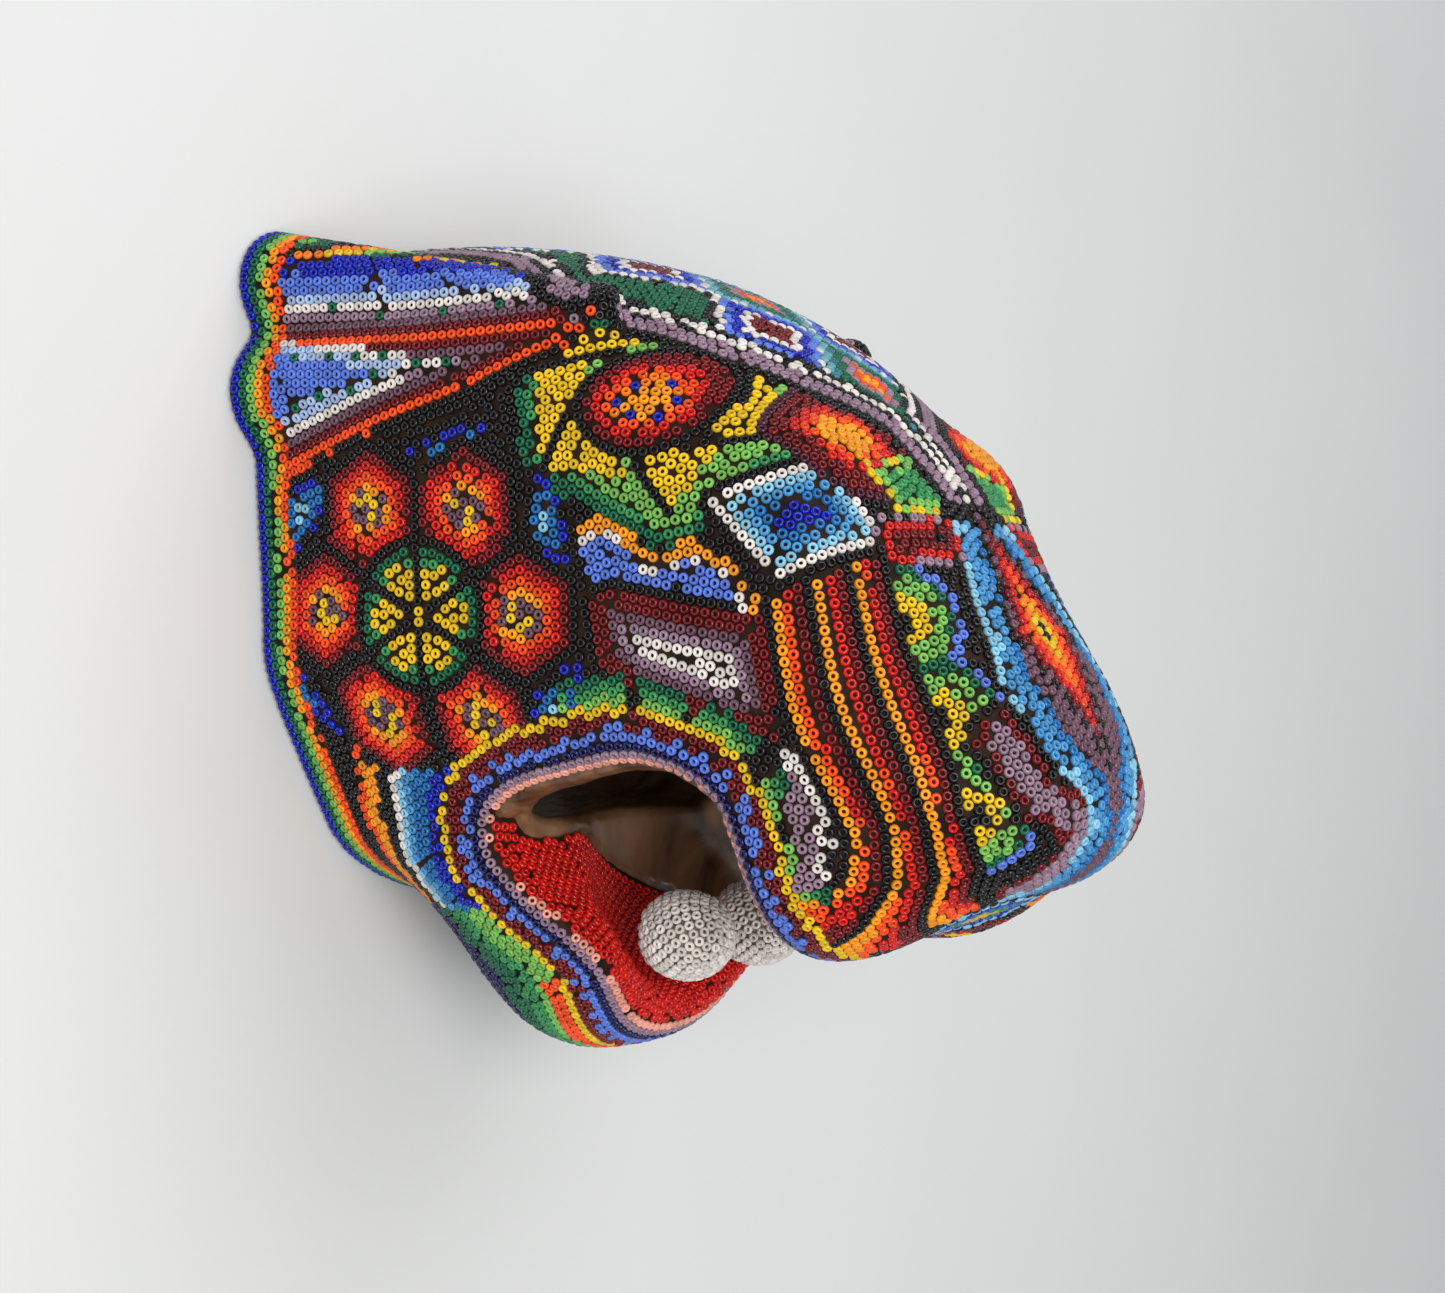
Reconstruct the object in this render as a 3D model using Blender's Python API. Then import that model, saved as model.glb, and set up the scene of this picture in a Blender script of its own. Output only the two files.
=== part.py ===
"""Hollow carved wooden head of a big cat, coated with beeswax and covered with fields of glass seed beads.

The head stands on its open neck rim with the nose up and the mouth wide open.
Units are metres in the scene and millimetres in the shape functions below.
+Z is up, +X is the side of the open mouth, and the head is the same on both sides of Y = 0.
"""
import math

import bmesh
import bpy
import numpy as np
from mathutils import Vector

MM = 0.001

# Driving dimensions, millimetres
BEAD_LAYER = 1.3          # height of the seed-bead layer
WAX_LAYER = 0.8           # thickness of the beeswax between wood and beads
GAP = 0.35                # clearance between neighbouring layers and between neighbouring fields
WOOD_DROP = BEAD_LAYER + WAX_LAYER + 2 * GAP
WALL = 12.0               # thickness of the carved wooden wall
RIM_HEIGHT = 8.0          # height of the beaded rows round the neck rim
RIM_CLEARANCE = 0.8       # beads and wax stop this far above the surface the head stands on
MOUTH_BORDER = 11.0       # width of the beaded border round the mouth
ROUNDING = 32.0           # how far the sides curve in towards the outline
FULLNESS = 2.3            # exponent of that curve, 2 is an ellipse
LIP_ROUNDING = 6.0
LIP_TURN = 1.6            # how far the beads follow the lips round into the mouth
LINING_START = 36.0       # the beads inside the lower jaw begin here and end at the lip
LINING_TOP = 78.0
LINING_EDGE = 3.5         # and this far short of the edge of the hollow
FANG_RADII = (9.5, 9.2, 11.0)
FANG_PLACE = (60.5, 13.0, 75.0)
SNAP = 0.6                # a corner this near a cut line counts as on it
NET_STEP = 4.0            # spacing of the grid that the carved surface is traced on
RIM_STEP = 6.5            # spacing of the corners round the neck rim
SURFACE_TRIANGLES = 2300  # triangles left on the traced surface

# Outline of the head from the side, as X, Z: nape, crown, nose, lips, chin, throat
PROFILE = [(-88, -90), (-88, 8), (-87, 28), (-84, 48), (-79, 68), (-71, 86), (-61, 102), (-49, 116),
           (-36, 128), (-22, 138), (-6, 148), (8, 157), (20, 163), (31, 166), (40, 163), (46, 156),
           (49, 148), (52, 141), (56, 131), (60, 120), (61, 110), (62, 101), (67, 89), (76, 76),
           (84, 63), (88, 51), (88, 41), (84, 31), (76, 23), (67, 18), (60, 13), (56, 6), (55, -90)]

# Half width of the head, a row for each height in WIDTH_Z and a column for each place in WIDTH_X
WIDTH_X = (-80, -40, 0, 40, 80)
WIDTH_Z = (0, 30, 60, 90, 120, 150, 180)
HALF_WIDTH = [(60, 63, 61, 46, 32), (58, 63, 61, 47, 32), (54, 60, 58, 46, 32), (50, 56, 54, 46, 36),
              (42, 50, 50, 45, 37), (34, 42, 43, 40, 34), (28, 32, 34, 33, 28)]

# Outline of the open mouth from the side
MOUTH = [(110, 112), (70, 112), (54, 110), (38, 107), (28, 101), (24, 88), (27, 74), (31, 57), (38, 49),
         (49, 57), (58, 66), (68, 69), (80, 65), (110, 60)]

# Outlines of the bead fields on each side of the head, from the side
EYE = [(-32, 125), (-19, 133), (-12, 121), (-25, 109)]
EAR = [(-69, 84), (-57, 82), (-48, 58), (-33, 0), (-99, 0), (-99, 30)]
STRIPES = [(-24, 110), (-10, 119), (18, 124), (40, 129), (47, 127), (52, 117), (90, 108), (90, 151),
           (56, 151), (40, 151), (12, 144), (-14, 134), (-13, 121)]
ARCHES = [(-24, 134), (-14, 134), (12, 144), (40, 151), (60, 151), (60, 175), (20, 175), (-30, 145)]
WHISKERS = [(18, 124), (40, 129), (47, 127), (54, 116), (54, 100), (18, 100)]
FLOWER = [(-50, 76), (-30, 80), (40, 80), (40, 40), (24, 18), (24, -10), (-50, -10)]
CHEEK = [(-21, 80), (-21, 112), (-10, 119), (18, 124), (40, 124), (40, 80)]
SUN = [(-90, 40), (-90, 108), (-21, 108), (-21, 80), (-30, 80), (-50, 66), (-60, 40)]
FOREHEAD = [(-70, 108), (-21, 108), (-10, 119), (-10, 150), (-70, 150)]

# Name, outline and least distance from the middle of each field that both sides have
SIDE_FIELDS = (("eye", EYE, 20), ("ear", EAR, 34), ("stripes", STRIPES, 0), ("arches", ARCHES, 0),
               ("whiskers", WHISKERS, 0), ("cheek", CHEEK, 20), ("flower", FLOWER, 30), ("sun", SUN, 20),
               ("forehead", FOREHEAD, 4))

BEAD_COLOURS = {"rim": (0.10, 0.33, 0.20), "crown": (0.12, 0.36, 0.40), "bridge": (0.42, 0.28, 0.36),
                "nose": (0.30, 0.50, 0.72), "mouth_border": (0.36, 0.05, 0.05), "jaw_lining": (0.62, 0.02, 0.02),
                "chin": (0.36, 0.56, 0.22), "throat": (0.10, 0.30, 0.66), "eye": (0.80, 0.80, 0.78),
                "ear": (0.40, 0.32, 0.42), "stripes": (0.84, 0.20, 0.03), "arches": (0.22, 0.42, 0.20),
                "whiskers": (0.16, 0.42, 0.18), "flower": (0.70, 0.12, 0.03), "cheek": (0.45, 0.10, 0.14),
                "sun": (0.85, 0.62, 0.04), "forehead": (0.55, 0.10, 0.06),
                "fang": (0.84, 0.82, 0.76)}


# ---------------------------------------------------------------- shape functions

def rounded(points, passes=2):
    """Cut the corners of a closed outline, so that it becomes a smooth curve."""
    outline = np.asarray(points, float)
    for _ in range(passes):
        after = np.roll(outline, -1, 0)
        pairs = np.stack([0.75 * outline + 0.25 * after, 0.25 * outline + 0.75 * after], 1)
        outline = pairs.reshape(-1, 2)
    return outline


def outline_distance(x, z, outline):
    """Distance from each point to a closed outline, negative inside it."""
    shape = np.shape(x)
    x = np.ravel(x)
    z = np.ravel(z)
    nearest = np.full(x.shape, np.inf)
    inside = np.zeros(x.shape, bool)
    for start, end in zip(outline, np.roll(outline, -1, 0)):
        ex, ez = end[0] - start[0], end[1] - start[1]
        along = ((x - start[0]) * ex + (z - start[1]) * ez) / (ex * ex + ez * ez + 1e-12)
        along = np.clip(along, 0, 1)
        dx = x - start[0] - along * ex
        dz = z - start[1] - along * ez
        nearest = np.minimum(nearest, dx * dx + dz * dz)
        straddles = (start[1] > z) != (end[1] > z)
        crossing = start[0] + (z - start[1]) * ex / (ez if abs(ez) > 1e-12 else 1e-12)
        inside ^= straddles & (x < crossing)
    distance = np.sqrt(nearest)
    return np.where(inside, -distance, distance).reshape(shape)


def half_width(x, z):
    """Half width of the head at a place seen from the side, blended between the table's values."""
    table = np.asarray(HALF_WIDTH, float)
    xs = np.asarray(WIDTH_X, float)
    zs = np.asarray(WIDTH_Z, float)
    x = np.clip(x, xs[0], xs[-1] - 1e-6)
    z = np.clip(z, zs[0], zs[-1] - 1e-6)
    i = np.searchsorted(xs, x, side="right") - 1
    j = np.searchsorted(zs, z, side="right") - 1
    u = (x - xs[i]) / (xs[i + 1] - xs[i])
    v = (z - zs[j]) / (zs[j + 1] - zs[j])
    u = u * u * (3 - 2 * u)
    v = v * v * (3 - 2 * v)
    low = table[j, i] * (1 - u) + table[j, i + 1] * u
    high = table[j + 1, i] * (1 - u) + table[j + 1, i + 1] * u
    return low * (1 - v) + high * v


def blend_union(a, b, width):
    h = np.clip(0.5 + 0.5 * (b - a) / width, 0, 1)
    return b * (1 - h) + a * h - width * h * (1 - h)


def blend_cut(a, b, width):
    return -blend_union(-a, -b, width)


def ellipsoid(x, y, z, centre, radii):
    px, py, pz = [(value - c) / r for value, c, r in zip((x, y, z), centre, radii)]
    scaled = np.sqrt(px ** 2 + py ** 2 + pz ** 2)
    slope = np.sqrt((px / radii[0]) ** 2 + (py / radii[1]) ** 2 + (pz / radii[2]) ** 2)
    return scaled * (scaled - 1) / np.maximum(slope, 1e-9)


def taper(x, y, z, start, end, start_radius, end_radius):
    """A round bar from start to end whose radius changes evenly."""
    start = np.asarray(start, float)
    step = np.asarray(end, float) - start
    dot = (x - start[0]) * step[0] + (y - start[1]) * step[1] + (z - start[2]) * step[2]
    t = np.clip(dot / step.dot(step), 0, 1)
    away = np.sqrt((x - start[0] - t * step[0]) ** 2 + (y - start[1] - t * step[1]) ** 2
                   + (z - start[2] - t * step[2]) ** 2)
    return away - (start_radius + (end_radius - start_radius) * t)


HEAD_OUTLINE = rounded(PROFILE)
MOUTH_OUTLINE = rounded(MOUTH)


def inflated(x, y, z, inset=0.0):
    """The head's outline swelled out to its half width, or the same form with a wall taken off."""
    depth = -outline_distance(x, z, HEAD_OUTLINE) - inset
    width = np.maximum(half_width(x, z) - inset, 8.0)
    rounding = ROUNDING - 0.5 * inset
    edge = np.maximum(0, 1 - depth / rounding)
    level = ((np.abs(y) / width) ** FULLNESS + edge ** FULLNESS) ** (1 / FULLNESS)
    return (level - 1) * rounding


def carved_outside(x, y, z):
    """Outer surface: body, brow bands, bridge grooves, whisker pads and ears."""
    side = np.abs(y)
    f = inflated(x, y, z)
    f = blend_union(f, taper(x, side, z, (-26, 32, 112), (38, 22, 125), 13, 16), 12)
    f = blend_cut(f, -taper(x, side, z, (-40, 42, 136), (80, 38, 182), 9, 9), 8)
    f = blend_union(f, ellipsoid(x, side, z, (40, 24, 117), (19, 20, 16)), 10)
    f = blend_union(f, taper(x, side, z, (-66, 46, 79), (-79, 61, -50), 3, 18), 5)
    f = blend_union(f, taper(x, side, z, (-63, 48, 79), (-45, 66, -50), 3, 16), 5)
    return f


def jaw_trough(x, y, z):
    return ellipsoid(x, y, z, (45, 0, 76), (31.5, 27, 29))


def hollow(x, y, z):
    """The hollow inside, behind the mouth and up into the muzzle, open at the neck."""
    f = inflated(x, y, z, WALL)
    f = blend_cut(f, x - 38 + 0.12 * np.maximum(0, 60 - z), 8)
    return f


def head(x, y, z):
    f = carved_outside(x, y, z)
    f = blend_cut(f, -outline_distance(x, z, MOUTH_OUTLINE), LIP_ROUNDING)
    f = blend_cut(f, -jaw_trough(x, y, z), 6)
    return blend_cut(f, -hollow(x, y, z), 3)


def slope(function, points, step=0.4):
    x, y, z = points.T
    gx = function(x + step, y, z) - function(x - step, y, z)
    gy = function(x, y + step, z) - function(x, y - step, z)
    gz = function(x, y, z + step) - function(x, y, z - step)
    return np.stack([gx, gy, gz], 1) / (2 * step)


# ---------------------------------------------------------------- surfaces and solids

def traced_surface(function, low, high, step):
    """Trace the zero surface of a function on a grid, as points and quads that face outwards."""
    axes = [np.arange(a, b + step / 2, step) for a, b in zip(low, high)]
    value = function(*np.meshgrid(*axes, indexing="ij"))
    cells = tuple(n - 1 for n in value.shape)
    total = np.zeros(cells + (3,))
    count = np.zeros(cells)
    corners = [(i, j, k) for i in (0, 1) for j in (0, 1) for k in (0, 1)]
    at = {c: value[c[0]:c[0] + cells[0], c[1]:c[1] + cells[1], c[2]:c[2] + cells[2]] for c in corners}
    for first in corners:
        for axis in range(3):
            if first[axis]:
                continue
            second = tuple(1 if n == axis else first[n] for n in range(3))
            a, b = at[first], at[second]
            crossed = (a < 0) != (b < 0)
            t = np.where(crossed, a / np.where(crossed, a - b, 1), 0)
            place = np.broadcast_to(np.asarray(first, float), cells + (3,)).copy()
            place[..., axis] += t
            total += place * crossed[..., None]
            count += crossed
    used = count > 0
    number = np.full(cells, -1)
    number[used] = np.arange(used.sum())
    corner = np.stack(np.meshgrid(*[np.arange(n) for n in cells], indexing="ij"), -1)
    points = (corner[used] + total[used] / count[used][:, None]) * step + np.asarray(low, float)
    quads = []
    for axis in range(3):
        u, v = (axis + 1) % 3, (axis + 2) % 3
        inner = [slice(1, n) for n in cells]
        inner[axis] = slice(0, cells[axis])
        here = value[tuple(inner)]
        shifted = [s for s in inner]
        shifted[axis] = slice(1, cells[axis] + 1)
        there = value[tuple(shifted)]
        crossed = np.argwhere((here < 0) != (there < 0))
        start = np.asarray([s.start for s in inner])
        for cell in crossed:
            base = cell + start
            ring = []
            for du, dv in ((0, 0), (-1, 0), (-1, -1), (0, -1)):
                near = base.copy()
                near[u] += du
                near[v] += dv
                ring.append(number[tuple(near)])
            outwards = value[tuple(base)] < 0
            quads.append(ring if outwards else ring[::-1])
    return points, np.asarray(quads)


def settled(function, points, passes=4):
    """Move each point along the slope onto the zero surface."""
    for _ in range(passes):
        g = slope(function, points)
        size = np.maximum((g ** 2).sum(1), 0.05)
        move = -function(*points.T)[:, None] * g / size[:, None]
        length = np.linalg.norm(move, axis=1, keepdims=True)
        points = points + move * np.minimum(1, 1.0 / np.maximum(length, 1e-9))
    return points


def thinned(points, faces, triangles):
    """The same surface with about so many triangles, fewer where it is flat."""
    used, numbers = np.unique(faces, return_inverse=True)
    points = points[used]
    faces = numbers.reshape(faces.shape)
    mesh = bpy.data.meshes.new("trace")
    mesh.from_pydata((points * MM).tolist(), [], faces.tolist())
    work = bmesh.new()
    work.from_mesh(mesh)
    rim = [corner for corner in work.verts if corner.is_boundary]
    for corner in rim:
        corner.co.z = 0.0
    bmesh.ops.remove_doubles(work, verts=rim, dist=RIM_STEP * MM)
    work.to_mesh(mesh)
    work.free()
    source = bpy.data.objects.new("trace", mesh)
    bpy.context.collection.objects.link(source)
    reduce = source.modifiers.new("thin", "DECIMATE")
    reduce.ratio = triangles / len(mesh.polygons)
    reduce.use_collapse_triangulate = True
    result = source.evaluated_get(bpy.context.evaluated_depsgraph_get()).to_mesh()
    corners = np.array([v.co for v in result.vertices]) / MM
    result.calc_loop_triangles()
    faces = np.array([t.vertices[:] for t in result.loop_triangles])
    bpy.data.objects.remove(source)
    edges = np.sort(np.concatenate([faces[:, (0, 1)], faces[:, (1, 2)], faces[:, (2, 0)]]), axis=1)
    kinds, uses = np.unique(edges, axis=0, return_counts=True)
    corners[np.unique(kinds[uses == 1]), 2] = 0.0
    return corners, faces


def corner_normals(points, faces):
    """Outward direction at each corner, level for the corners on the neck rim."""
    a, b, c = (points[faces[:, n]] for n in range(3))
    flat = np.cross(b - a, c - a)
    normals = np.zeros_like(points)
    for n in range(3):
        np.add.at(normals, faces[:, n], flat)
    normals[points[:, 2] == 0, 2] = 0
    return normals / np.maximum(np.linalg.norm(normals, axis=1, keepdims=True), 1e-9)


def cut_along(surface, active, level):
    """Cut the active triangles of a surface along level = 0, and keep their neighbours joined to them.

    Returns the new surface and its active triangles, those with a negative level. Corners within SNAP
    of the line count as on it, so that no slivers are left.
    """
    points, normals, faces, labels = surface
    side = np.where(np.abs(level) < SNAP, 0, np.sign(level)).astype(int)
    edges = {(min(i, j), max(i, j)) for f in faces[active] for i, j in zip(f, np.roll(f, -1))
             if side[i] * side[j] < 0}
    edges = sorted(edges)
    middle = {edge: len(points) + n for n, edge in enumerate(edges)}
    if edges:
        first, second = np.array(edges).T
        t = (level[first] / (level[first] - level[second]))[:, None]
        mixed = normals[first] * (1 - t) + normals[second] * t
        mixed /= np.maximum(np.linalg.norm(mixed, axis=1, keepdims=True), 1e-9)
        points = np.concatenate([points, points[first] * (1 - t) + points[second] * t])
        normals = np.concatenate([normals, mixed])
    kept = []
    for face, label, chosen in zip(faces, labels, active):
        rings = ([], [])
        for i, j in zip(face, np.roll(face, -1)):
            if chosen:
                if side[i] <= 0:
                    rings[0].append(i)
                if side[i] >= 0:
                    rings[1].append(i)
            else:
                rings[1].append(i)
            key = (min(i, j), max(i, j))
            if key in middle:
                rings[1].append(middle[key])
                if chosen:
                    rings[0].append(middle[key])
        if chosen and not any(side[i] < 0 for i in face):
            rings = ([], list(face)) if any(side[i] > 0 for i in face) else (list(face), [])
        elif chosen and not any(side[i] > 0 for i in face):
            rings = (list(face), [])
        for ring, inside in zip(rings, (True, False)):
            for n in range(1, len(ring) - 1):
                kept.append((ring[0], ring[n], ring[n + 1], label, inside))
    kept = np.array(kept, int).reshape(-1, 5)
    return (points, normals, kept[:, :3], kept[:, 3]), kept[:, 4].astype(bool)


def part_where(points, normals, faces, function):
    """The part of a surface where a function of the points is negative."""
    surface = (points, normals, faces, np.zeros(len(faces), int))
    surface, inside = cut_along(surface, np.ones(len(faces), bool), function(points))
    return surface[0], surface[1], surface[2][inside]


def largest_piece(faces):
    """The biggest set of triangles joined edge to edge."""
    owner = {}
    links = [[] for _ in faces]
    for n, face in enumerate(faces):
        for i, j in zip(face, np.roll(face, -1)):
            key = (min(i, j), max(i, j))
            if key in owner:
                links[n].append(owner[key])
                links[owner[key]].append(n)
            else:
                owner[key] = n
    seen = np.zeros(len(faces), bool)
    best = []
    for first in range(len(faces)):
        if seen[first]:
            continue
        seen[first] = True
        group = [first]
        for n in group:
            for other in links[n]:
                if not seen[other]:
                    seen[other] = True
                    group.append(other)
        if len(group) > len(best):
            best = group
    return faces[sorted(best)]


def without_pinches(faces):
    """Drop the smaller fans of triangles at corners where a patch touches itself in one point."""
    while True:
        around = {}
        for n, face in enumerate(faces):
            for corner in face:
                around.setdefault(int(corner), []).append(n)
        dropped = set()
        for corner, members in around.items():
            fans = []
            for n in members:
                others = {int(c) for c in faces[n] if c != corner}
                joined = [fan for fan in fans if fan[1] & others]
                for fan in joined:
                    fans.remove(fan)
                numbers = [n] + [m for fan in joined for m in fan[0]]
                fans.append((numbers, others.union(*[fan[1] for fan in joined])))
            fans.sort(key=lambda fan: -len(fan[0]))
            for fan in fans[1:]:
                dropped.update(fan[0])
        if not dropped:
            return faces
        faces = largest_piece(faces[[n for n in range(len(faces)) if n not in dropped]])


def rim_edges(faces):
    """The edges that only one triangle uses, in the direction that triangle runs round."""
    directed = {(int(f[n]), int(f[(n + 1) % 3])) for f in faces for n in range(3)}
    return sorted((i, j) for i, j in directed if (j, i) not in directed)


def drawn_in(points, normals, faces, distance):
    """The points of a patch with its edges moved in along the surface."""
    inward = np.zeros_like(points)
    for i, j in rim_edges(faces):
        across = np.cross(normals[i] + normals[j], points[j] - points[i])
        across /= max(np.linalg.norm(across), 1e-9)
        inward[i] += across
        inward[j] += across
    size = (inward ** 2).sum(1, keepdims=True)
    step = np.where(size > 0.5, 2 * inward / np.maximum(size, 0.5), inward)
    return points + step * distance


def layer(points, normals, faces, top, bottom):
    """A closed solid between two depths under a surface patch, with walls round its edges."""
    used = np.unique(faces)
    number = np.full(len(points), -1)
    number[used] = np.arange(len(used))
    faces = number[faces]
    above = points[used] - normals[used] * top
    below = points[used] - normals[used] * bottom
    count = len(used)
    walls = []
    for i, j in rim_edges(faces):
        walls.append((j, i, i + count))
        walls.append((j, i + count, j + count))
    under = faces[:, ::-1] + count
    solid = np.concatenate([faces, under, np.array(walls, int).reshape(-1, 3)])
    return np.concatenate([above, below]), solid


# ---------------------------------------------------------------- objects

def finish_material(name, colour, roughness, coat=0.0):
    material = bpy.data.materials.new(name)
    material.use_nodes = True
    shader = material.node_tree.nodes["Principled BSDF"]
    shader.inputs["Base Color"].default_value = (*colour, 1)
    shader.inputs["Roughness"].default_value = roughness
    shader.inputs["Metallic"].default_value = 0.0
    shader.inputs["Coat Weight"].default_value = coat
    return material


def add_solid(name, points, faces, material, parent):
    mesh = bpy.data.meshes.new(name)
    mesh.from_pydata((points * MM).tolist(), [], faces.tolist())
    mesh.validate()
    mesh.materials.append(material)
    mesh.shade_smooth()
    mesh.set_sharp_from_angle(angle=math.radians(50))
    solid = bpy.data.objects.new(name, mesh)
    solid.parent = parent
    bpy.context.collection.objects.link(solid)
    return solid


def strip_half_width(z):
    """Half width of the panel that runs up the back of the head, narrow at the brow."""
    return np.interp(z, (0, 50, 95, 112, 130), (34, 36, 32, 22, 10))


def bridge_half_width(x):
    return np.interp(x, (-34, -8, 10, 24, 44), (9, 16, 20, 20, 14))


def outer_zone(points):
    """Negative on the outside of the head, as far as the beads follow the lips round."""
    return -LIP_TURN - carved_outside(*points.T)


def lining_zone(points):
    """Negative on the lining of the lower jaw."""
    x, y, z = points.T
    return np.maximum.reduce([carved_outside(x, y, z) + LIP_TURN, LINING_START - x, z - LINING_TOP,
                              LINING_EDGE - hollow(x, y, z)])


def covered_zone(points):
    """Negative wherever beads and wax lie on the wood."""
    return np.minimum(outer_zone(points), lining_zone(points))


def height_below(limit):
    return lambda p: p[:, 2] - limit


def beyond_x(limit):
    return lambda p: limit - p[:, 0]


def inside_outline(outline):
    outline = np.asarray(outline, float)
    return lambda p: outline_distance(p[:, 0], p[:, 2], outline)


def on_side(sign, least):
    return lambda p: least - sign * p[:, 1]


def bead_fields():
    """Each bead field's name and the functions that are all negative inside it. The first field wins."""
    crown_edge = lambda p: np.abs(p[:, 1]) - strip_half_width(p[:, 2])
    bridge_edge = lambda p: np.abs(p[:, 1]) - bridge_half_width(p[:, 0])
    fields = [("jaw_lining", [lining_zone]),
              ("rim", [outer_zone, height_below(RIM_HEIGHT)]),
              ("mouth_border", [outer_zone, lambda p: inside_outline(MOUTH_OUTLINE)(p) - MOUTH_BORDER]),
              ("crown", [outer_zone, lambda p: p[:, 0] + 26, crown_edge]),
              ("nose", [outer_zone, beyond_x(41), lambda p: 134 - p[:, 2], lambda p: np.abs(p[:, 1]) - 15]),
              ("bridge", [outer_zone, beyond_x(-26), lambda p: 120 - p[:, 2], bridge_edge])]
    for name, outline, least in SIDE_FIELDS:
        for suffix, sign in (("right", -1), ("left", 1)):
            fields.append((name + "_" + suffix, [outer_zone, inside_outline(outline), on_side(sign, least)]))
    fields.append(("chin", [outer_zone, beyond_x(58), height_below(80)]))
    fields.append(("throat", [outer_zone, beyond_x(20), height_below(70)]))
    return fields


def add_wood(points, normals, faces, parent):
    """The carved head: the traced surface, lowered where wax and beads lie on it, cut flat at the neck."""
    covered = covered_zone(points) < SNAP
    lowered = np.zeros(len(points), bool)
    lowered[np.unique(faces[covered[faces].any(axis=1)])] = True
    places = points - normals * (WOOD_DROP * lowered)[:, None]
    wood = finish_material("varnished_wood", (0.16, 0.075, 0.035), 0.35, 0.3)
    solid = add_solid("head_core", places, faces, wood, parent)
    work = bmesh.new()
    work.from_mesh(solid.data)
    edges = [edge for edge in work.edges if edge.is_boundary]
    bmesh.ops.triangle_fill(work, use_beauty=True, use_dissolve=False, edges=edges, normal=(0, 0, -1))
    bmesh.ops.recalc_face_normals(work, faces=work.faces[:])
    bmesh.ops.triangulate(work, faces=[face for face in work.faces if len(face.verts) > 3])
    work.to_mesh(solid.data)
    work.free()
    return solid


def add_layer(name, points, normals, faces, top, bottom, material, parent):
    faces = without_pinches(largest_piece(faces))
    solid_points, solid_faces = layer(drawn_in(points, normals, faces, GAP / 2), normals, faces, top, bottom)
    return add_solid(name, solid_points, solid_faces, material, parent)


def turned(name, outline, centre, squash, material, parent, segments=16):
    """A solid of revolution about a vertical axis, from a closed half outline of radius and height."""
    work = bmesh.new()
    rings = []
    for radius, height in outline:
        if radius < 1e-6:
            rings.append([work.verts.new((0, 0, height * MM))])
            continue
        ring = []
        for n in range(segments):
            angle = 2 * math.pi * n / segments
            ring.append(work.verts.new((radius * MM * math.cos(angle), squash * radius * MM * math.sin(angle),
                                        height * MM)))
        rings.append(ring)
    closed = outline[0][0] > 1e-6
    pairs = list(zip(rings, rings[1:]))
    if closed:
        pairs.append((rings[-1], rings[0]))
    for upper, lower in pairs:
        for n in range(segments):
            after = (n + 1) % segments
            if len(upper) == 1:
                work.faces.new((upper[0], lower[n], lower[after]))
            elif len(lower) == 1:
                work.faces.new((upper[n], lower[0], upper[after]))
            else:
                work.faces.new((upper[n], lower[n], lower[after], upper[after]))
    bmesh.ops.recalc_face_normals(work, faces=work.faces[:])
    mesh = bpy.data.meshes.new(name)
    work.to_mesh(mesh)
    work.free()
    mesh.materials.append(material)
    mesh.shade_smooth()
    solid = bpy.data.objects.new(name, mesh)
    solid.location = Vector(centre) * MM
    solid.parent = parent
    bpy.context.collection.objects.link(solid)
    return solid


def egg_arc(shrink, start, end, steps):
    """Points down the side of the fang's egg shape, a distance inside its beaded surface."""
    radius = FANG_RADII[0] - shrink
    height = FANG_RADII[2] - shrink
    angles = [math.radians(start + (end - start) * n / steps) for n in range(steps + 1)]
    return [(radius * math.sin(a) if a > 1e-6 else 0.0, height * math.cos(a)) for a in angles]


def add_fangs(parent):
    squash = FANG_RADII[1] / FANG_RADII[0]
    ivory = finish_material("painted_peg", (0.55, 0.48, 0.38), 0.5)
    beads = finish_material("white_beads", BEAD_COLOURS["fang"], 0.2)
    peg = egg_arc(BEAD_LAYER + GAP, 0, 176, 8)
    peg.append((0.0, peg[-1][1]))
    outer = egg_arc(0, 0, 140, 7)
    inner = egg_arc(BEAD_LAYER, 0, 140, 7)
    skin = outer + inner[::-1]
    for suffix, sign in (("right", -1), ("left", 1)):
        place = (FANG_PLACE[0], sign * FANG_PLACE[1], FANG_PLACE[2])
        turned("fang_peg_" + suffix, peg, place, squash, ivory, parent)
        turned("fang_beads_" + suffix, skin, place, squash, beads, parent)


def carved_surface():
    """The head's whole surface as points, outward directions and triangles, open at the neck rim."""
    low = (-98, -80, -12)
    high = (98, 80, 184)
    points, quads = traced_surface(head, low, high, NET_STEP)
    points = settled(head, points)
    faces = np.concatenate([quads[:, :3], quads[:, (0, 2, 3)]])
    points, _, faces = part_where(points, np.zeros_like(points), faces, lambda p: -p[:, 2])
    points, faces = thinned(points, faces, SURFACE_TRIANGLES)
    return points, corner_normals(points, faces), faces


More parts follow.
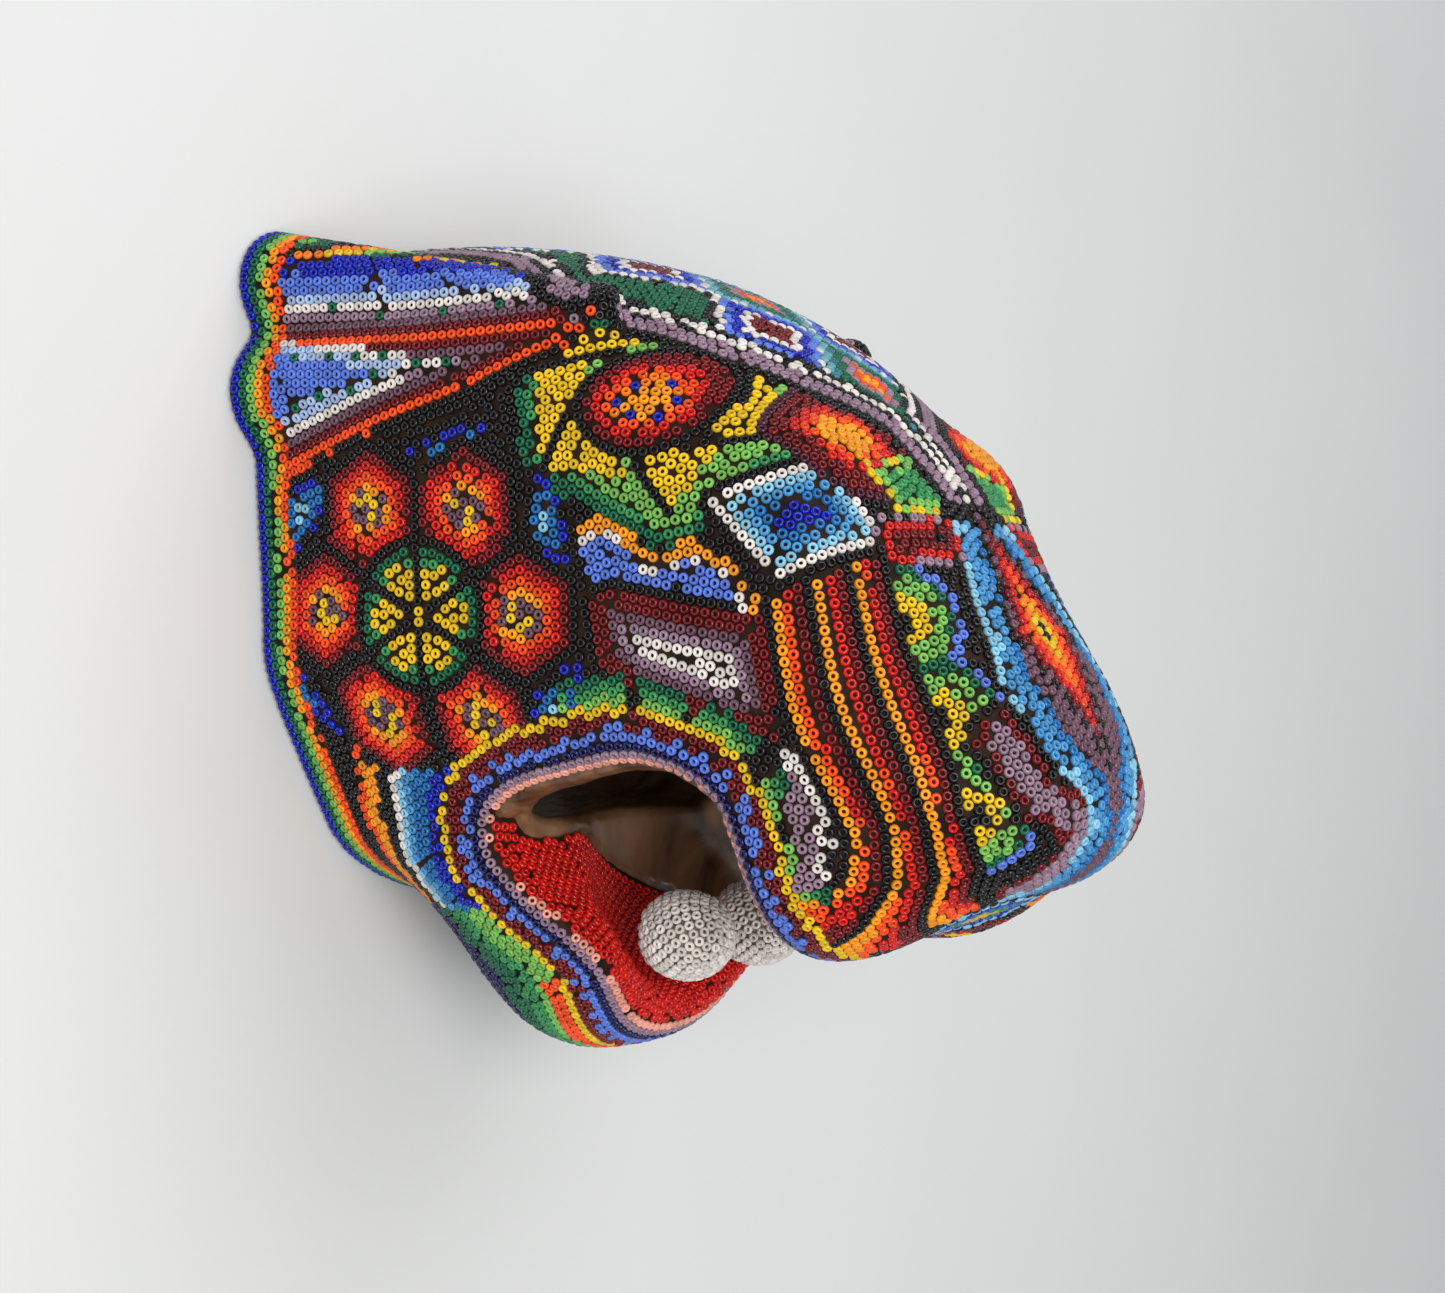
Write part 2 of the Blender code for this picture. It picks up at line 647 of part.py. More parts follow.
def build():
    for old in list(bpy.data.objects):
        bpy.data.objects.remove(old)
    root = bpy.data.objects.new("big_cat_head", None)
    bpy.context.collection.objects.link(root)

    points, normals, faces = carved_surface()
    add_wood(points, normals, faces, root)

    points, normals, faces = part_where(points, normals, faces, lambda p: RIM_CLEARANCE - p[:, 2])
    wax = finish_material("beeswax", (0.12, 0.06, 0.03), 0.45)
    waxed = part_where(points, normals, faces, covered_zone)
    add_layer("wax_coat", *waxed, BEAD_LAYER + GAP, WOOD_DROP - GAP, wax, root)

    surface = (points, normals, faces, np.full(len(faces), -1))
    for number, (name, functions) in enumerate(bead_fields()):
        active = surface[3] < 0
        for function in functions:
            surface, active = cut_along(surface, active, function(surface[0]))
        surface[3][active] = number
    for number, (name, _) in enumerate(bead_fields()):
        kind = name.removesuffix("_right").removesuffix("_left")
        material = finish_material(name + "_beads", BEAD_COLOURS[kind], 0.2)
        own = surface[2][surface[3] == number]
        add_layer(name + "_beads", surface[0], surface[1], own, 0.0, BEAD_LAYER, material, root)
    add_fangs(root)


if __name__ == "__main__":
    build()
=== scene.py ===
"""The beaded head of a big cat: carved varnished wood, a coat of beeswax, and every glass seed bead.

The beads are set one by one: rows follow the outlines of the motifs, and the rest of each motif is filled
from those rows, the way the beadwork is pressed into the wax. Lengths in the functions are millimetres.
"""
import heapq
import math

import bpy
import numpy as np
from mathutils import Matrix, Vector
from mathutils.bvhtree import BVHTree
from mathutils.kdtree import KDTree


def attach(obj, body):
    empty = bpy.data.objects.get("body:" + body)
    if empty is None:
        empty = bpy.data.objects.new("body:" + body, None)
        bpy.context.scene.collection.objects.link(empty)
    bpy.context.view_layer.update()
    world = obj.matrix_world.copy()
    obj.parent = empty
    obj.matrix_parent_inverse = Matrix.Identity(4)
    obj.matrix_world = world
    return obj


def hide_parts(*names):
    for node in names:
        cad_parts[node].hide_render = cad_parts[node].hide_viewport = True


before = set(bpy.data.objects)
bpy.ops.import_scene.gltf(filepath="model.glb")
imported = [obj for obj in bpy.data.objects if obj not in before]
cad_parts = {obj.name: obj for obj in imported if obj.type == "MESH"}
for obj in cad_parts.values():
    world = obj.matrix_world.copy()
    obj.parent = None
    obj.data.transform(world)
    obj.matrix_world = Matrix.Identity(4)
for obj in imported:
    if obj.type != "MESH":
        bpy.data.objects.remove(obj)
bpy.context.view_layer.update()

MM = 0.001
BEAD_LAYER = 1.3          # height of the seed-bead layer
WAX_LAYER = 0.8
GAP = 0.35
WOOD_DROP = BEAD_LAYER + WAX_LAYER + 2 * GAP
WALL = 12.0
RIM_HEIGHT = 8.0
RIM_CLEARANCE = 0.8
MOUTH_BORDER = 11.0
ROUNDING = 32.0
FULLNESS = 2.3
LIP_ROUNDING = 6.0
LIP_TURN = 1.6
LINING_START = 36.0
LINING_TOP = 78.0
LINING_EDGE = 3.5
FANG_RADII = (9.5, 9.2, 11.0)
FANG_PLACE = (60.5, 13.0, 75.0)
FINE_STEP = 2.0           # spacing of the grid that the visible surfaces are traced on
PITCH = 2.13              # distance between neighbouring beads in a row
ROW = 1.88                # distance between neighbouring rows
BEAD_SINK = 0.66          # depth of the bead centres below the beaded surface
WAX_DEPTH = 0.75          # depth of the wax between the beads
LIP_ROW_DEPTH = 0.5       # how far round the lip the first row of beads lies
FANG_COVER = math.radians(139)   # how far down from its tip a fang is beaded
GOUGES = 9000             # gouge marks in the bare wood of the hollow
GOUGE_DEPTH = 0.5
CROWN_FRONT = -27         # X where the crown panel meets the bridge of the nose
NAPE_FRONT = -60          # X where the nape's bands stop
UNDER_NOSE = (55.0, 0, 137)
TABLE_SIZE = 40           # metres, so that its edge is far away

# Outline of the head from the side, as X, Z: nape, crown, nose, lips, chin, throat
PROFILE = [
    (-88, -90), (-88, 8), (-87, 28), (-84, 48), (-79, 68), (-71, 86), (-61, 102), (-49, 116), (-36, 128),
    (-22, 138), (-6, 148), (8, 157), (20, 163), (31, 166), (40, 163), (46, 156), (49, 148), (52, 141),
    (56, 131), (60, 120), (61, 110), (62, 101), (67, 89), (76, 76), (84, 63), (88, 51), (88, 41), (84, 31),
    (76, 23), (67, 18), (60, 13), (56, 6), (55, -90)]

# Half width of the head, a row for each height in WIDTH_Z and a column for each place in WIDTH_X
WIDTH_X = (-80, -40, 0, 40, 80)
WIDTH_Z = (0, 30, 60, 90, 120, 150, 180)
HALF_WIDTH = [
    (60, 63, 61, 46, 32), (58, 63, 61, 47, 32), (54, 60, 58, 46, 32), (50, 56, 54, 46, 36),
    (42, 50, 50, 45, 37), (34, 42, 43, 40, 34), (28, 32, 34, 33, 28)]

# Outline of the open mouth from the side
MOUTH = [
    (110, 112), (70, 112), (54, 110), (38, 107), (28, 101), (24, 88), (27, 74), (31, 57), (38, 49),
    (49, 57), (58, 66), (68, 69), (80, 65), (110, 60)]

# Outlines of the bead fields on each side of the head, from the side
EYE = [(-32, 125), (-19, 133), (-12, 121), (-25, 109)]
EAR = [(-69, 84), (-57, 82), (-48, 58), (-33, 0), (-99, 0), (-99, 30)]
STRIPES = [
    (-24, 110), (-10, 119), (18, 124), (40, 129), (47, 127), (52, 117), (90, 108), (90, 151), (56, 151),
    (40, 151), (12, 144), (-14, 134), (-13, 121)]
ARCHES = [(-24, 134), (-14, 134), (12, 144), (40, 151), (60, 151), (60, 175), (20, 175), (-30, 145)]
WHISKERS = [(18, 124), (40, 129), (47, 127), (54, 116), (54, 100), (18, 100)]
FLOWER = [(-50, 76), (-30, 80), (40, 80), (40, 40), (24, 18), (24, -10), (-50, -10)]
CHEEK = [(-21, 80), (-21, 112), (-10, 119), (18, 124), (40, 124), (40, 80)]
SUN = [(-90, 40), (-90, 108), (-21, 108), (-21, 80), (-30, 80), (-50, 66), (-60, 40)]
FOREHEAD = [(-70, 108), (-21, 108), (-10, 119), (-10, 150), (-70, 150)]

# Name, outline and least distance from the middle of each field that both sides have
SIDE_FIELDS = (
    ("eye", EYE, 20), ("ear", EAR, 34), ("stripes", STRIPES, 0), ("arches", ARCHES, 0),
    ("whiskers", WHISKERS, 0), ("cheek", CHEEK, 20), ("flower", FLOWER, 30), ("sun", SUN, 20),
    ("forehead", FOREHEAD, 4))


# ---------------------------------------------------------------- the carved shape

def rounded(points, passes=2):
    """Cut the corners of a closed outline, so that it becomes a smooth curve."""
    outline = np.asarray(points, float)
    for _ in range(passes):
        after = np.roll(outline, -1, 0)
        pairs = np.stack([0.75 * outline + 0.25 * after, 0.25 * outline + 0.75 * after], 1)
        outline = pairs.reshape(-1, 2)
    return outline


def outline_distance(x, z, outline):
    """Distance from each point to a closed outline, negative inside it."""
    outline = np.asarray(outline, float)
    shape = np.shape(x)
    x = np.ravel(x)
    z = np.ravel(z)
    nearest = np.full(x.shape, np.inf)
    inside = np.zeros(x.shape, bool)
    for start, end in zip(outline, np.roll(outline, -1, 0)):
        ex, ez = end[0] - start[0], end[1] - start[1]
        along = ((x - start[0]) * ex + (z - start[1]) * ez) / (ex * ex + ez * ez + 1e-12)
        along = np.clip(along, 0, 1)
        dx = x - start[0] - along * ex
        dz = z - start[1] - along * ez
        nearest = np.minimum(nearest, dx * dx + dz * dz)
        straddles = (start[1] > z) != (end[1] > z)
        crossing = start[0] + (z - start[1]) * ex / (ez if abs(ez) > 1e-12 else 1e-12)
        inside ^= straddles & (x < crossing)
    distance = np.sqrt(nearest)
    return np.where(inside, -distance, distance).reshape(shape)


def half_width(x, z):
    """Half width of the head at a place seen from the side, blended between the table's values."""
    table = np.asarray(HALF_WIDTH, float)
    xs = np.asarray(WIDTH_X, float)
    zs = np.asarray(WIDTH_Z, float)
    x = np.clip(x, xs[0], xs[-1] - 1e-6)
    z = np.clip(z, zs[0], zs[-1] - 1e-6)
    i = np.searchsorted(xs, x, side="right") - 1
    j = np.searchsorted(zs, z, side="right") - 1
    u = (x - xs[i]) / (xs[i + 1] - xs[i])
    v = (z - zs[j]) / (zs[j + 1] - zs[j])
    u = u * u * (3 - 2 * u)
    v = v * v * (3 - 2 * v)
    low = table[j, i] * (1 - u) + table[j, i + 1] * u
    high = table[j + 1, i] * (1 - u) + table[j + 1, i + 1] * u
    return low * (1 - v) + high * v


def blend_union(a, b, width):
    h = np.clip(0.5 + 0.5 * (b - a) / width, 0, 1)
    return b * (1 - h) + a * h - width * h * (1 - h)


def blend_cut(a, b, width):
    return -blend_union(-a, -b, width)


def ellipsoid(x, y, z, centre, radii):
    px, py, pz = [(value - c) / r for value, c, r in zip((x, y, z), centre, radii)]
    scaled = np.sqrt(px ** 2 + py ** 2 + pz ** 2)
    slope = np.sqrt((px / radii[0]) ** 2 + (py / radii[1]) ** 2 + (pz / radii[2]) ** 2)
    return scaled * (scaled - 1) / np.maximum(slope, 1e-9)


def taper(x, y, z, start, end, start_radius, end_radius):
    """A round bar from start to end whose radius changes evenly."""
    start = np.asarray(start, float)
    step = np.asarray(end, float) - start
    dot = (x - start[0]) * step[0] + (y - start[1]) * step[1] + (z - start[2]) * step[2]
    t = np.clip(dot / step.dot(step), 0, 1)
    away = np.sqrt((x - start[0] - t * step[0]) ** 2 + (y - start[1] - t * step[1]) ** 2
                   + (z - start[2] - t * step[2]) ** 2)
    return away - (start_radius + (end_radius - start_radius) * t)


HEAD_OUTLINE = rounded(PROFILE)
MOUTH_OUTLINE = rounded(MOUTH)


def inflated(x, y, z, inset=0.0):
    """The head's outline swelled out to its half width, or the same form with a wall taken off."""
    depth = -outline_distance(x, z, HEAD_OUTLINE) - inset
    width = np.maximum(half_width(x, z) - inset, 8.0)
    rounding = ROUNDING - 0.5 * inset
    edge = np.maximum(0, 1 - depth / rounding)
    level = ((np.abs(y) / width) ** FULLNESS + edge ** FULLNESS) ** (1 / FULLNESS)
    return (level - 1) * rounding


def carved_outside(x, y, z):
    """Outer surface: body, brow bands, bridge grooves, whisker pads and ears."""
    side = np.abs(y)
    f = inflated(x, y, z)
    f = blend_union(f, taper(x, side, z, (-26, 32, 112), (38, 22, 125), 13, 16), 12)
    f = blend_cut(f, -taper(x, side, z, (-40, 42, 136), (80, 38, 182), 9, 9), 8)
    f = blend_union(f, ellipsoid(x, side, z, (40, 24, 117), (19, 20, 16)), 10)
    f = blend_union(f, taper(x, side, z, (-66, 46, 79), (-79, 61, -50), 3, 18), 5)
    f = blend_union(f, taper(x, side, z, (-63, 48, 79), (-45, 66, -50), 3, 16), 5)
    return f


def jaw_trough(x, y, z):
    return ellipsoid(x, y, z, (45, 0, 76), (31.5, 27, 29))


def hollow(x, y, z):
    """The hollow inside, behind the mouth and up into the muzzle, open at the neck."""
    f = inflated(x, y, z, WALL)
    f = blend_cut(f, x - 38 + 0.12 * np.maximum(0, 60 - z), 8)
    return f


def head(x, y, z):
    f = carved_outside(x, y, z)
    f = blend_cut(f, -outline_distance(x, z, MOUTH_OUTLINE), LIP_ROUNDING)
    f = blend_cut(f, -jaw_trough(x, y, z), 6)
    return blend_cut(f, -hollow(x, y, z), 3)


def slope(function, points, step=0.4):
    x, y, z = points.T
    gx = function(x + step, y, z) - function(x - step, y, z)
    gy = function(x, y + step, z) - function(x, y - step, z)
    gz = function(x, y, z + step) - function(x, y, z - step)
    return np.stack([gx, gy, gz], 1) / (2 * step)


def traced_surface(function, low, high, step):
    """Trace the zero surface of a function on a grid, as points and quads that face outwards."""
    axes = [np.arange(a, b + step / 2, step) for a, b in zip(low, high)]
    value = function(*np.meshgrid(*axes, indexing="ij"))
    cells = tuple(n - 1 for n in value.shape)
    total = np.zeros(cells + (3,))
    count = np.zeros(cells)
    corners = [(i, j, k) for i in (0, 1) for j in (0, 1) for k in (0, 1)]
    at = {c: value[c[0]:c[0] + cells[0], c[1]:c[1] + cells[1], c[2]:c[2] + cells[2]] for c in corners}
    for first in corners:
        for axis in range(3):
            if first[axis]:
                continue
            second = tuple(1 if n == axis else first[n] for n in range(3))
            a, b = at[first], at[second]
            crossed = (a < 0) != (b < 0)
            t = np.where(crossed, a / np.where(crossed, a - b, 1), 0)
            place = np.broadcast_to(np.asarray(first, float), cells + (3,)).copy()
            place[..., axis] += t
            total += place * crossed[..., None]
            count += crossed
    used = count > 0
    number = np.full(cells, -1)
    number[used] = np.arange(used.sum())
    corner = np.stack(np.meshgrid(*[np.arange(n) for n in cells], indexing="ij"), -1)
    points = (corner[used] + total[used] / count[used][:, None]) * step + np.asarray(low, float)
    quads = []
    for axis in range(3):
        u, v = (axis + 1) % 3, (axis + 2) % 3
        inner = [slice(1, n) for n in cells]
        inner[axis] = slice(0, cells[axis])
        here = value[tuple(inner)]
        shifted = list(inner)
        shifted[axis] = slice(1, cells[axis] + 1)
        there = value[tuple(shifted)]
        crossed = np.argwhere((here < 0) != (there < 0))
        start = np.asarray([s.start for s in inner])
        for cell in crossed:
            base = cell + start
            ring = []
            for du, dv in ((0, 0), (-1, 0), (-1, -1), (0, -1)):
                near = base.copy()
                near[u] += du
                near[v] += dv
                ring.append(number[tuple(near)])
            outwards = value[tuple(base)] < 0
            quads.append(ring if outwards else ring[::-1])
    return points, np.asarray(quads)


def settled(function, points, passes=4):
    """Move each point along the slope onto the zero surface."""
    for _ in range(passes):
        g = slope(function, points)
        size = np.maximum((g ** 2).sum(1), 0.05)
        move = -function(*points.T)[:, None] * g / size[:, None]
        length = np.linalg.norm(move, axis=1, keepdims=True)
        points = points + move * np.minimum(1, 1.0 / np.maximum(length, 1e-9))
    return points


def strip_half_width(z):
    """Half width of the panel that runs up the back of the head, narrow at the brow."""
    return np.interp(z, (0, 50, 95, 112, 130), (34, 36, 32, 22, 10))


def bridge_half_width(x):
    return np.interp(x, (-34, -8, 10, 24, 44), (9, 16, 20, 20, 14))


def outer_zone(points):
    """Negative on the outside of the head, as far as the beads follow the lips round."""
    return -LIP_TURN - carved_outside(*points.T)


def lining_zone(points):
    """Negative on the lining of the lower jaw."""
    x, y, z = points.T
    return np.maximum.reduce([carved_outside(x, y, z) + LIP_TURN, LINING_START - x, z - LINING_TOP,
                              LINING_EDGE - hollow(x, y, z)])


def covered_zone(points):
    """Negative wherever beads and wax lie on the wood."""
    return np.minimum(outer_zone(points), lining_zone(points))


# ---------------------------------------------------------------- working with surfaces

def surface_normals(points, faces):
    a, b, c = (points[faces[:, n]] for n in range(3))
    flat = np.cross(b - a, c - a)
    normals = np.zeros_like(points)
    for n in range(3):
        np.add.at(normals, faces[:, n], flat)
    return normals / np.maximum(np.linalg.norm(normals, axis=1, keepdims=True), 1e-9)


def clipped(points, faces, level):
    """The part of a triangle surface where the level is negative, cut along its zero line."""
    inside = level < 0
    count = inside[faces].sum(1)
    kept = [faces[count == 3]]
    added = {}
    extra = []
    for face in faces[(count > 0) & (count < 3)]:
        ring = []
        for i, j in zip(face, np.roll(face, -1)):
            if inside[i]:
                ring.append(i)
            if inside[i] != inside[j]:
                key = (min(i, j), max(i, j))
                if key not in added:
                    t = level[key[0]] / (level[key[0]] - level[key[1]])
                    added[key] = len(points) + len(extra)
                    extra.append(points[key[0]] * (1 - t) + points[key[1]] * t)
                ring.append(added[key])
        kept.append(np.array([(ring[0], ring[n], ring[n + 1]) for n in range(1, len(ring) - 1)]))
    if extra:
        points = np.concatenate([points, np.array(extra)])
    faces = np.concatenate(kept)
    used, numbers = np.unique(faces, return_inverse=True)
    return points[used], numbers.reshape(faces.shape)


def level_lines(points, faces, level):
    """The lines on a surface where the level is zero, as runs of points."""
    inside = level < 0
    count = inside[faces].sum(1)
    links = {}
    places = {}
    for face in faces[(count == 1) | (count == 2)]:
        ends = []
        for i, j in zip(face, np.roll(face, -1)):
            if inside[i] != inside[j]:
                key = (min(i, j), max(i, j))
                t = level[key[0]] / (level[key[0]] - level[key[1]])
                places[key] = points[key[0]] * (1 - t) + points[key[1]] * t
                ends.append(key)
        links.setdefault(ends[0], []).append(ends[1])
        links.setdefault(ends[1], []).append(ends[0])
    lines = []
    waiting = set(links)
    for start in sorted(links, key=lambda k: (len(links[k]), k)):
        if start not in waiting:
            continue
        run = [start]
        waiting.discard(start)
        while True:
            onward = [k for k in links[run[-1]] if k in waiting]
            if not onward:
                break
            run.append(onward[0])
            waiting.discard(onward[0])
        if start in links[run[-1]] and len(run) > 3:
            run.append(start)
        lines.append(np.array([places[k] for k in run]))
    return lines


def tree_of(points, faces):
    return BVHTree.FromPolygons([Vector(p) for p in points], faces.tolist())


def dense(corners, step=0.7):
    """Points close together along a run of corners."""
    corners = np.asarray(corners, float)
    runs = []
    for a, b in zip(corners, corners[1:]):
        count = max(1, int(np.linalg.norm(b - a) / step))
        runs.append(a + (b - a) * (np.arange(count) / count)[:, None])
    runs.append(corners[-1:])
    return np.concatenate(runs)


def lifted_from_side(corners, tree, closed=True):
    """Corners given as X, Z carried straight across onto the near side of the surface."""
    corners = list(corners) + ([corners[0]] if closed else [])
    line = []
    for x, z in dense(corners):
        place = tree.ray_cast(Vector((x, -200, z)), Vector((0, 1, 0)))[0]
        if place is not None and place.y < 1:
            line.append(place[:])
    return np.array(line)


def laid_down(corners, tree, closed=False):
    """Corners given as X, Y, Z moved onto the nearest part of the surface."""
    corners = list(corners) + ([corners[0]] if closed else [])
    return np.array([tree.find_nearest(Vector(p))[0][:] for p in dense(corners)])


def spaced(line, pitch):
    """Points a bead apart along a line."""
    steps = np.linalg.norm(np.diff(line, axis=0), axis=1)
    along = np.concatenate([[0], np.cumsum(steps)])
    count = max(1, int(round(along[-1] / pitch)))
    marks = np.linspace(0, along[-1], count + 1)
    return np.stack([np.interp(marks, along, line[:, n]) for n in range(3)], 1)


def places_tree(places):
    tree = KDTree(len(places))
    for n, place in enumerate(places):
        tree.insert(place, n)
    tree.balance()
    return tree


def distance_to(line, points):
    """Distance from each point to a line of close points."""
    tree = places_tree(line)
    return np.array([tree.find(p)[2] for p in points])


def along_line(line, points):
    """How far along a line of close points each point lies."""
    travelled = np.concatenate([[0], np.cumsum(np.linalg.norm(np.diff(line, axis=0), axis=1))])
    tree = places_tree(line)
    return np.array([travelled[tree.find(p)[1]] for p in points])


# ---------------------------------------------------------------- setting the beads

class BeadLayout:
    """Beads set on one half of the head, each at least a bead's width from the others."""

    def __init__(self, tree):
        self.tree = tree
        self.places = []
        self.normals = []
        self.fixed = []
        self.cells = {}
        self.front = []

    def cell(self, p):
        return (int(p[0] // PITCH), int(p[1] // PITCH), int(p[2] // PITCH))

    def close_to(self, p, reach):
        i, j, k = self.cell(p)
        found = []
        for a in (i - 1, i, i + 1):
            for b in (j - 1, j, j + 1):
                for c in (k - 1, k, k + 1):
                    for n in self.cells.get((a, b, c), ()):
                        if (self.places[n] - p).length_squared < reach * reach:
                            found.append(n)
        return found

    def set_bead(self, p, rank, fixed, clearance=0.84):
        if self.close_to(p, clearance * PITCH * 0.97):
            return
        place, normal, _, _ = self.tree.find_nearest(p)
        if abs(place.y) < 0.3:
            place.y = 0.0
        elif place.y > -0.47 * PITCH:
            return
        if self.close_to(place, clearance * PITCH):
            return
        number = len(self.places)
        self.places.append(place)
        self.normals.append(normal)
        self.fixed.append(fixed)
        self.cells.setdefault(self.cell(place), []).append(number)
        heapq.heappush(self.front, (rank, number))

    def seed(self, line, rank=0):
        """Set beads side by side along a line."""
        if len(line) > 1:
            for place in spaced(line, PITCH):
                self.set_bead(Vector(place), rank, True, 0.86)

    def fill(self):
        """Grow rows outwards from the beads already set, each bead nested between two others."""
        while self.front:
            rank, number = heapq.heappop(self.front)
            place, normal = self.places[number], self.normals[number]
            around = [n for n in self.close_to(place, 1.45 * PITCH) if n != number]
            for other in around:
                along = self.places[other] - place
                across = normal.cross(along).normalized()
                rise = math.sqrt(max(PITCH ** 2 - along.length_squared / 4, 0.3))
                middle = place + along / 2
                for side in (1, -1):
                    self.set_bead(middle + across * rise * side, rank + 1, False)
            if len(around) < 2:
                start = normal.orthogonal().normalized()
                for turn in range(6):
                    angle = turn * math.pi / 3
                    step = start * math.cos(angle) + normal.cross(start) * math.sin(angle)
                    self.set_bead(place + step * PITCH, rank + 1, False)


def eased_apart(layout, passes=40):
    """Even out the gaps: beads that aren't part of a set line push one another apart."""
    points = np.array([p[:] for p in layout.places])
    fixed = np.array(layout.fixed)
    tree = places_tree(layout.places)
    pairs = [(n, m) for n, p in enumerate(layout.places)
             for _, m, _ in tree.find_range(p, 1.5 * PITCH) if m > n]
    first, second = np.array(pairs).T
    freedom = np.where(fixed, 0.2, 1.0)
    middle = points[:, 1] > -0.01
    for _ in range(passes):
        apart = points[second] - points[first]
        length = np.linalg.norm(apart, axis=1)
        push = np.maximum(0, 1.01 * PITCH - length)[:, None] * apart / np.maximum(length, 1e-6)[:, None]
        move = np.zeros_like(points)
        np.add.at(move, second, 0.25 * push)
        np.add.at(move, first, -0.25 * push)
        points = points + move * freedom[:, None]
        points[:, 1] = np.where(middle, 0, np.minimum(points[:, 1], -0.5 * PITCH))
    return np.array([layout.tree.find_nearest(Vector(p))[0][:] for p in points])


# ---------------------------------------------------------------- colours of the beads

SHADES = {
    "black": (0.006, 0.005, 0.006), "white": (0.76, 0.70, 0.66), "dark_red": (0.16, 0.004, 0.007),
    "red": (0.60, 0.010, 0.006), "orange_red": (0.88, 0.075, 0.004), "orange": (0.90, 0.20, 0.004),
    "amber": (0.92, 0.33, 0.006), "yellow": (0.80, 0.52, 0.004), "dark_green": (0.004, 0.12, 0.055),
    "green": (0.035, 0.27, 0.085), "light_green": (0.19, 0.48, 0.09), "navy": (0.006, 0.006, 0.08),
    "royal": (0.006, 0.016, 0.40), "blue": (0.012, 0.15, 0.42), "periwinkle": (0.10, 0.19, 0.66),
    "sky": (0.06, 0.28, 0.56), "light_blue": (0.24, 0.54, 0.72), "pale_blue": (0.38, 0.50, 0.74),
    "lavender": (0.30, 0.19, 0.26), "mauve": (0.15, 0.07, 0.105), "plum": (0.07, 0.010, 0.024),
    "pink": (0.82, 0.36, 0.27), "teal": (0.03, 0.19, 0.23), "sea": (0.15, 0.42, 0.46)}
NAMES = list(SHADES)
TINTS = (0.86, 1.0, 1.13)


class Painter:
    """Chooses a colour for every bead. Later calls paint over earlier ones."""

    def __init__(self, points, tree):
        self.points = points
        self.x, self.y, self.z = points.T
        self.tree = tree
        self.colour = np.full(len(points), NAMES.index("black"))

    def paint(self, where, name):
        self.colour[where] = NAMES.index(name)

    def bands(self, where, value, limits):
        """Paint each colour where the value is below its limit, the lowest limits last."""
        for limit, name in limits:
            self.paint(where & (value < limit), name)

    def line(self, line, name, reach=0.55):
        self.paint(distance_to(line, self.points) < reach * PITCH, name)

    def rings(self, where, depth, colours, start=0.5):
        """Paint rows by their distance from an edge; the last colour fills the rest."""
        row = np.floor(depth / ROW - start + 0.5).astype(int)
        row = np.clip(row, 0, len(colours) - 1)
        for n, name in enumerate(colours):
            if name:
                self.paint(where & (row == n), name)

    def nearest(self, place, name):
        at = np.linalg.norm(self.points - np.asarray(place, float), axis=1).argmin()
        self.colour[at] = NAMES.index(name)

    def panel(self, corners, colours, edge="black", start=1.0):
        """A motif with a black outline and rows of colour inside it, in the side view."""
        line = lifted_from_side(corners, self.tree)
        inside = outline_distance(self.x, self.z, corners) < 0
        depth = distance_to(line, self.points)
        inside &= self.y < 0.1
        self.rings(inside, depth, colours, start)
        if edge:
            self.paint((depth < 0.5 * ROW) & (self.y < 0.1), edge)


# ---------------------------------------------------------------- motifs, as X, Z on the near side

FLOWER_CENTRE = (-5, 43.5)
PETAL_ANGLES = (90, 29, -32, -93, -152, 150)
PETAL_REACH = 24.0
PETAL_RADIUS = 13.2
ROSETTE_RADIUS = 15.0
SWIRL = [
    (3.0, 2.6), (1.0, 4.0), (-1.6, 3.4), (-2.6, 1.6), (-1.0, 0.2), (1.2, -0.4), (2.6, -1.8), (1.6, -3.6),
    (-1.0, -4.0), (-3.0, -2.6)]
SUN_CENTRE = (-45.5, 93)
SUN_RADII = (10.4, 12.6)
SUN_GROUND = [
    (-51, 110), (-34, 124), (-29, 116), (-19, 107), (-17, 98), (-23, 85), (-32, 71), (-48, 66), (-60, 78),
    (-62, 92), (-56, 105)]
SUN_BLADES = [
    [(-53, 106), (-38, 116), (-38, 105)], [(-37, 108), (-23, 101), (-34, 93)], [(-43, 81), (-30, 92),
    (-33, 75)], [(-54, 81), (-33, 74), (-51, 71)], [(-60, 90), (-55, 82), (-54, 71), (-59, 78)],
    [(-51, 106), (-60, 93), (-55, 91)]]
SUN_LINES = [
    [(-54, 103), (-37, 105)], [(-38, 115), (-36, 99)], [(-24, 100), (-36, 91)], [(-33, 74), (-46, 80)],
    [(-52, 70), (-56, 84)], [(-58, 91), (-51, 103)]]
EYE_DIAMOND = [(-33, 125), (-19, 133), (-12, 121), (-26, 108)]
EAR_OUTER = [(-63, 80), (-57, 75), (-48.5, 56), (-42, 34), (-34, 10)]
EAR_GROOVE = [(-61, 72), (-60, 45), (-61, 9)]
EAR_BACK = [(-64, 80), (-72, 62), (-79, 40), (-84, 12)]
EAR_DOTS = [
    (-55.5, 50), (-54.5, 44), (-57, 36), (-52, 34), (-57.5, 30), (-50.5, 28), (-58, 24), (-49, 21),
    (-58, 16), (-46.5, 14), (-65, 60), (-65.5, 47), (-66, 34), (-66.5, 22)]
CHEEK_LEAF = [(-5, 121), (19, 122), (17, 110), (11, 92), (5, 83), (-9, 81), (-11, 87), (-8, 102)]
FEATHER = [(-6, 118), (-10, 102), (-12, 82), (-21, 81), (-23, 87), (-15, 97), (-18, 104), (-14, 112)]
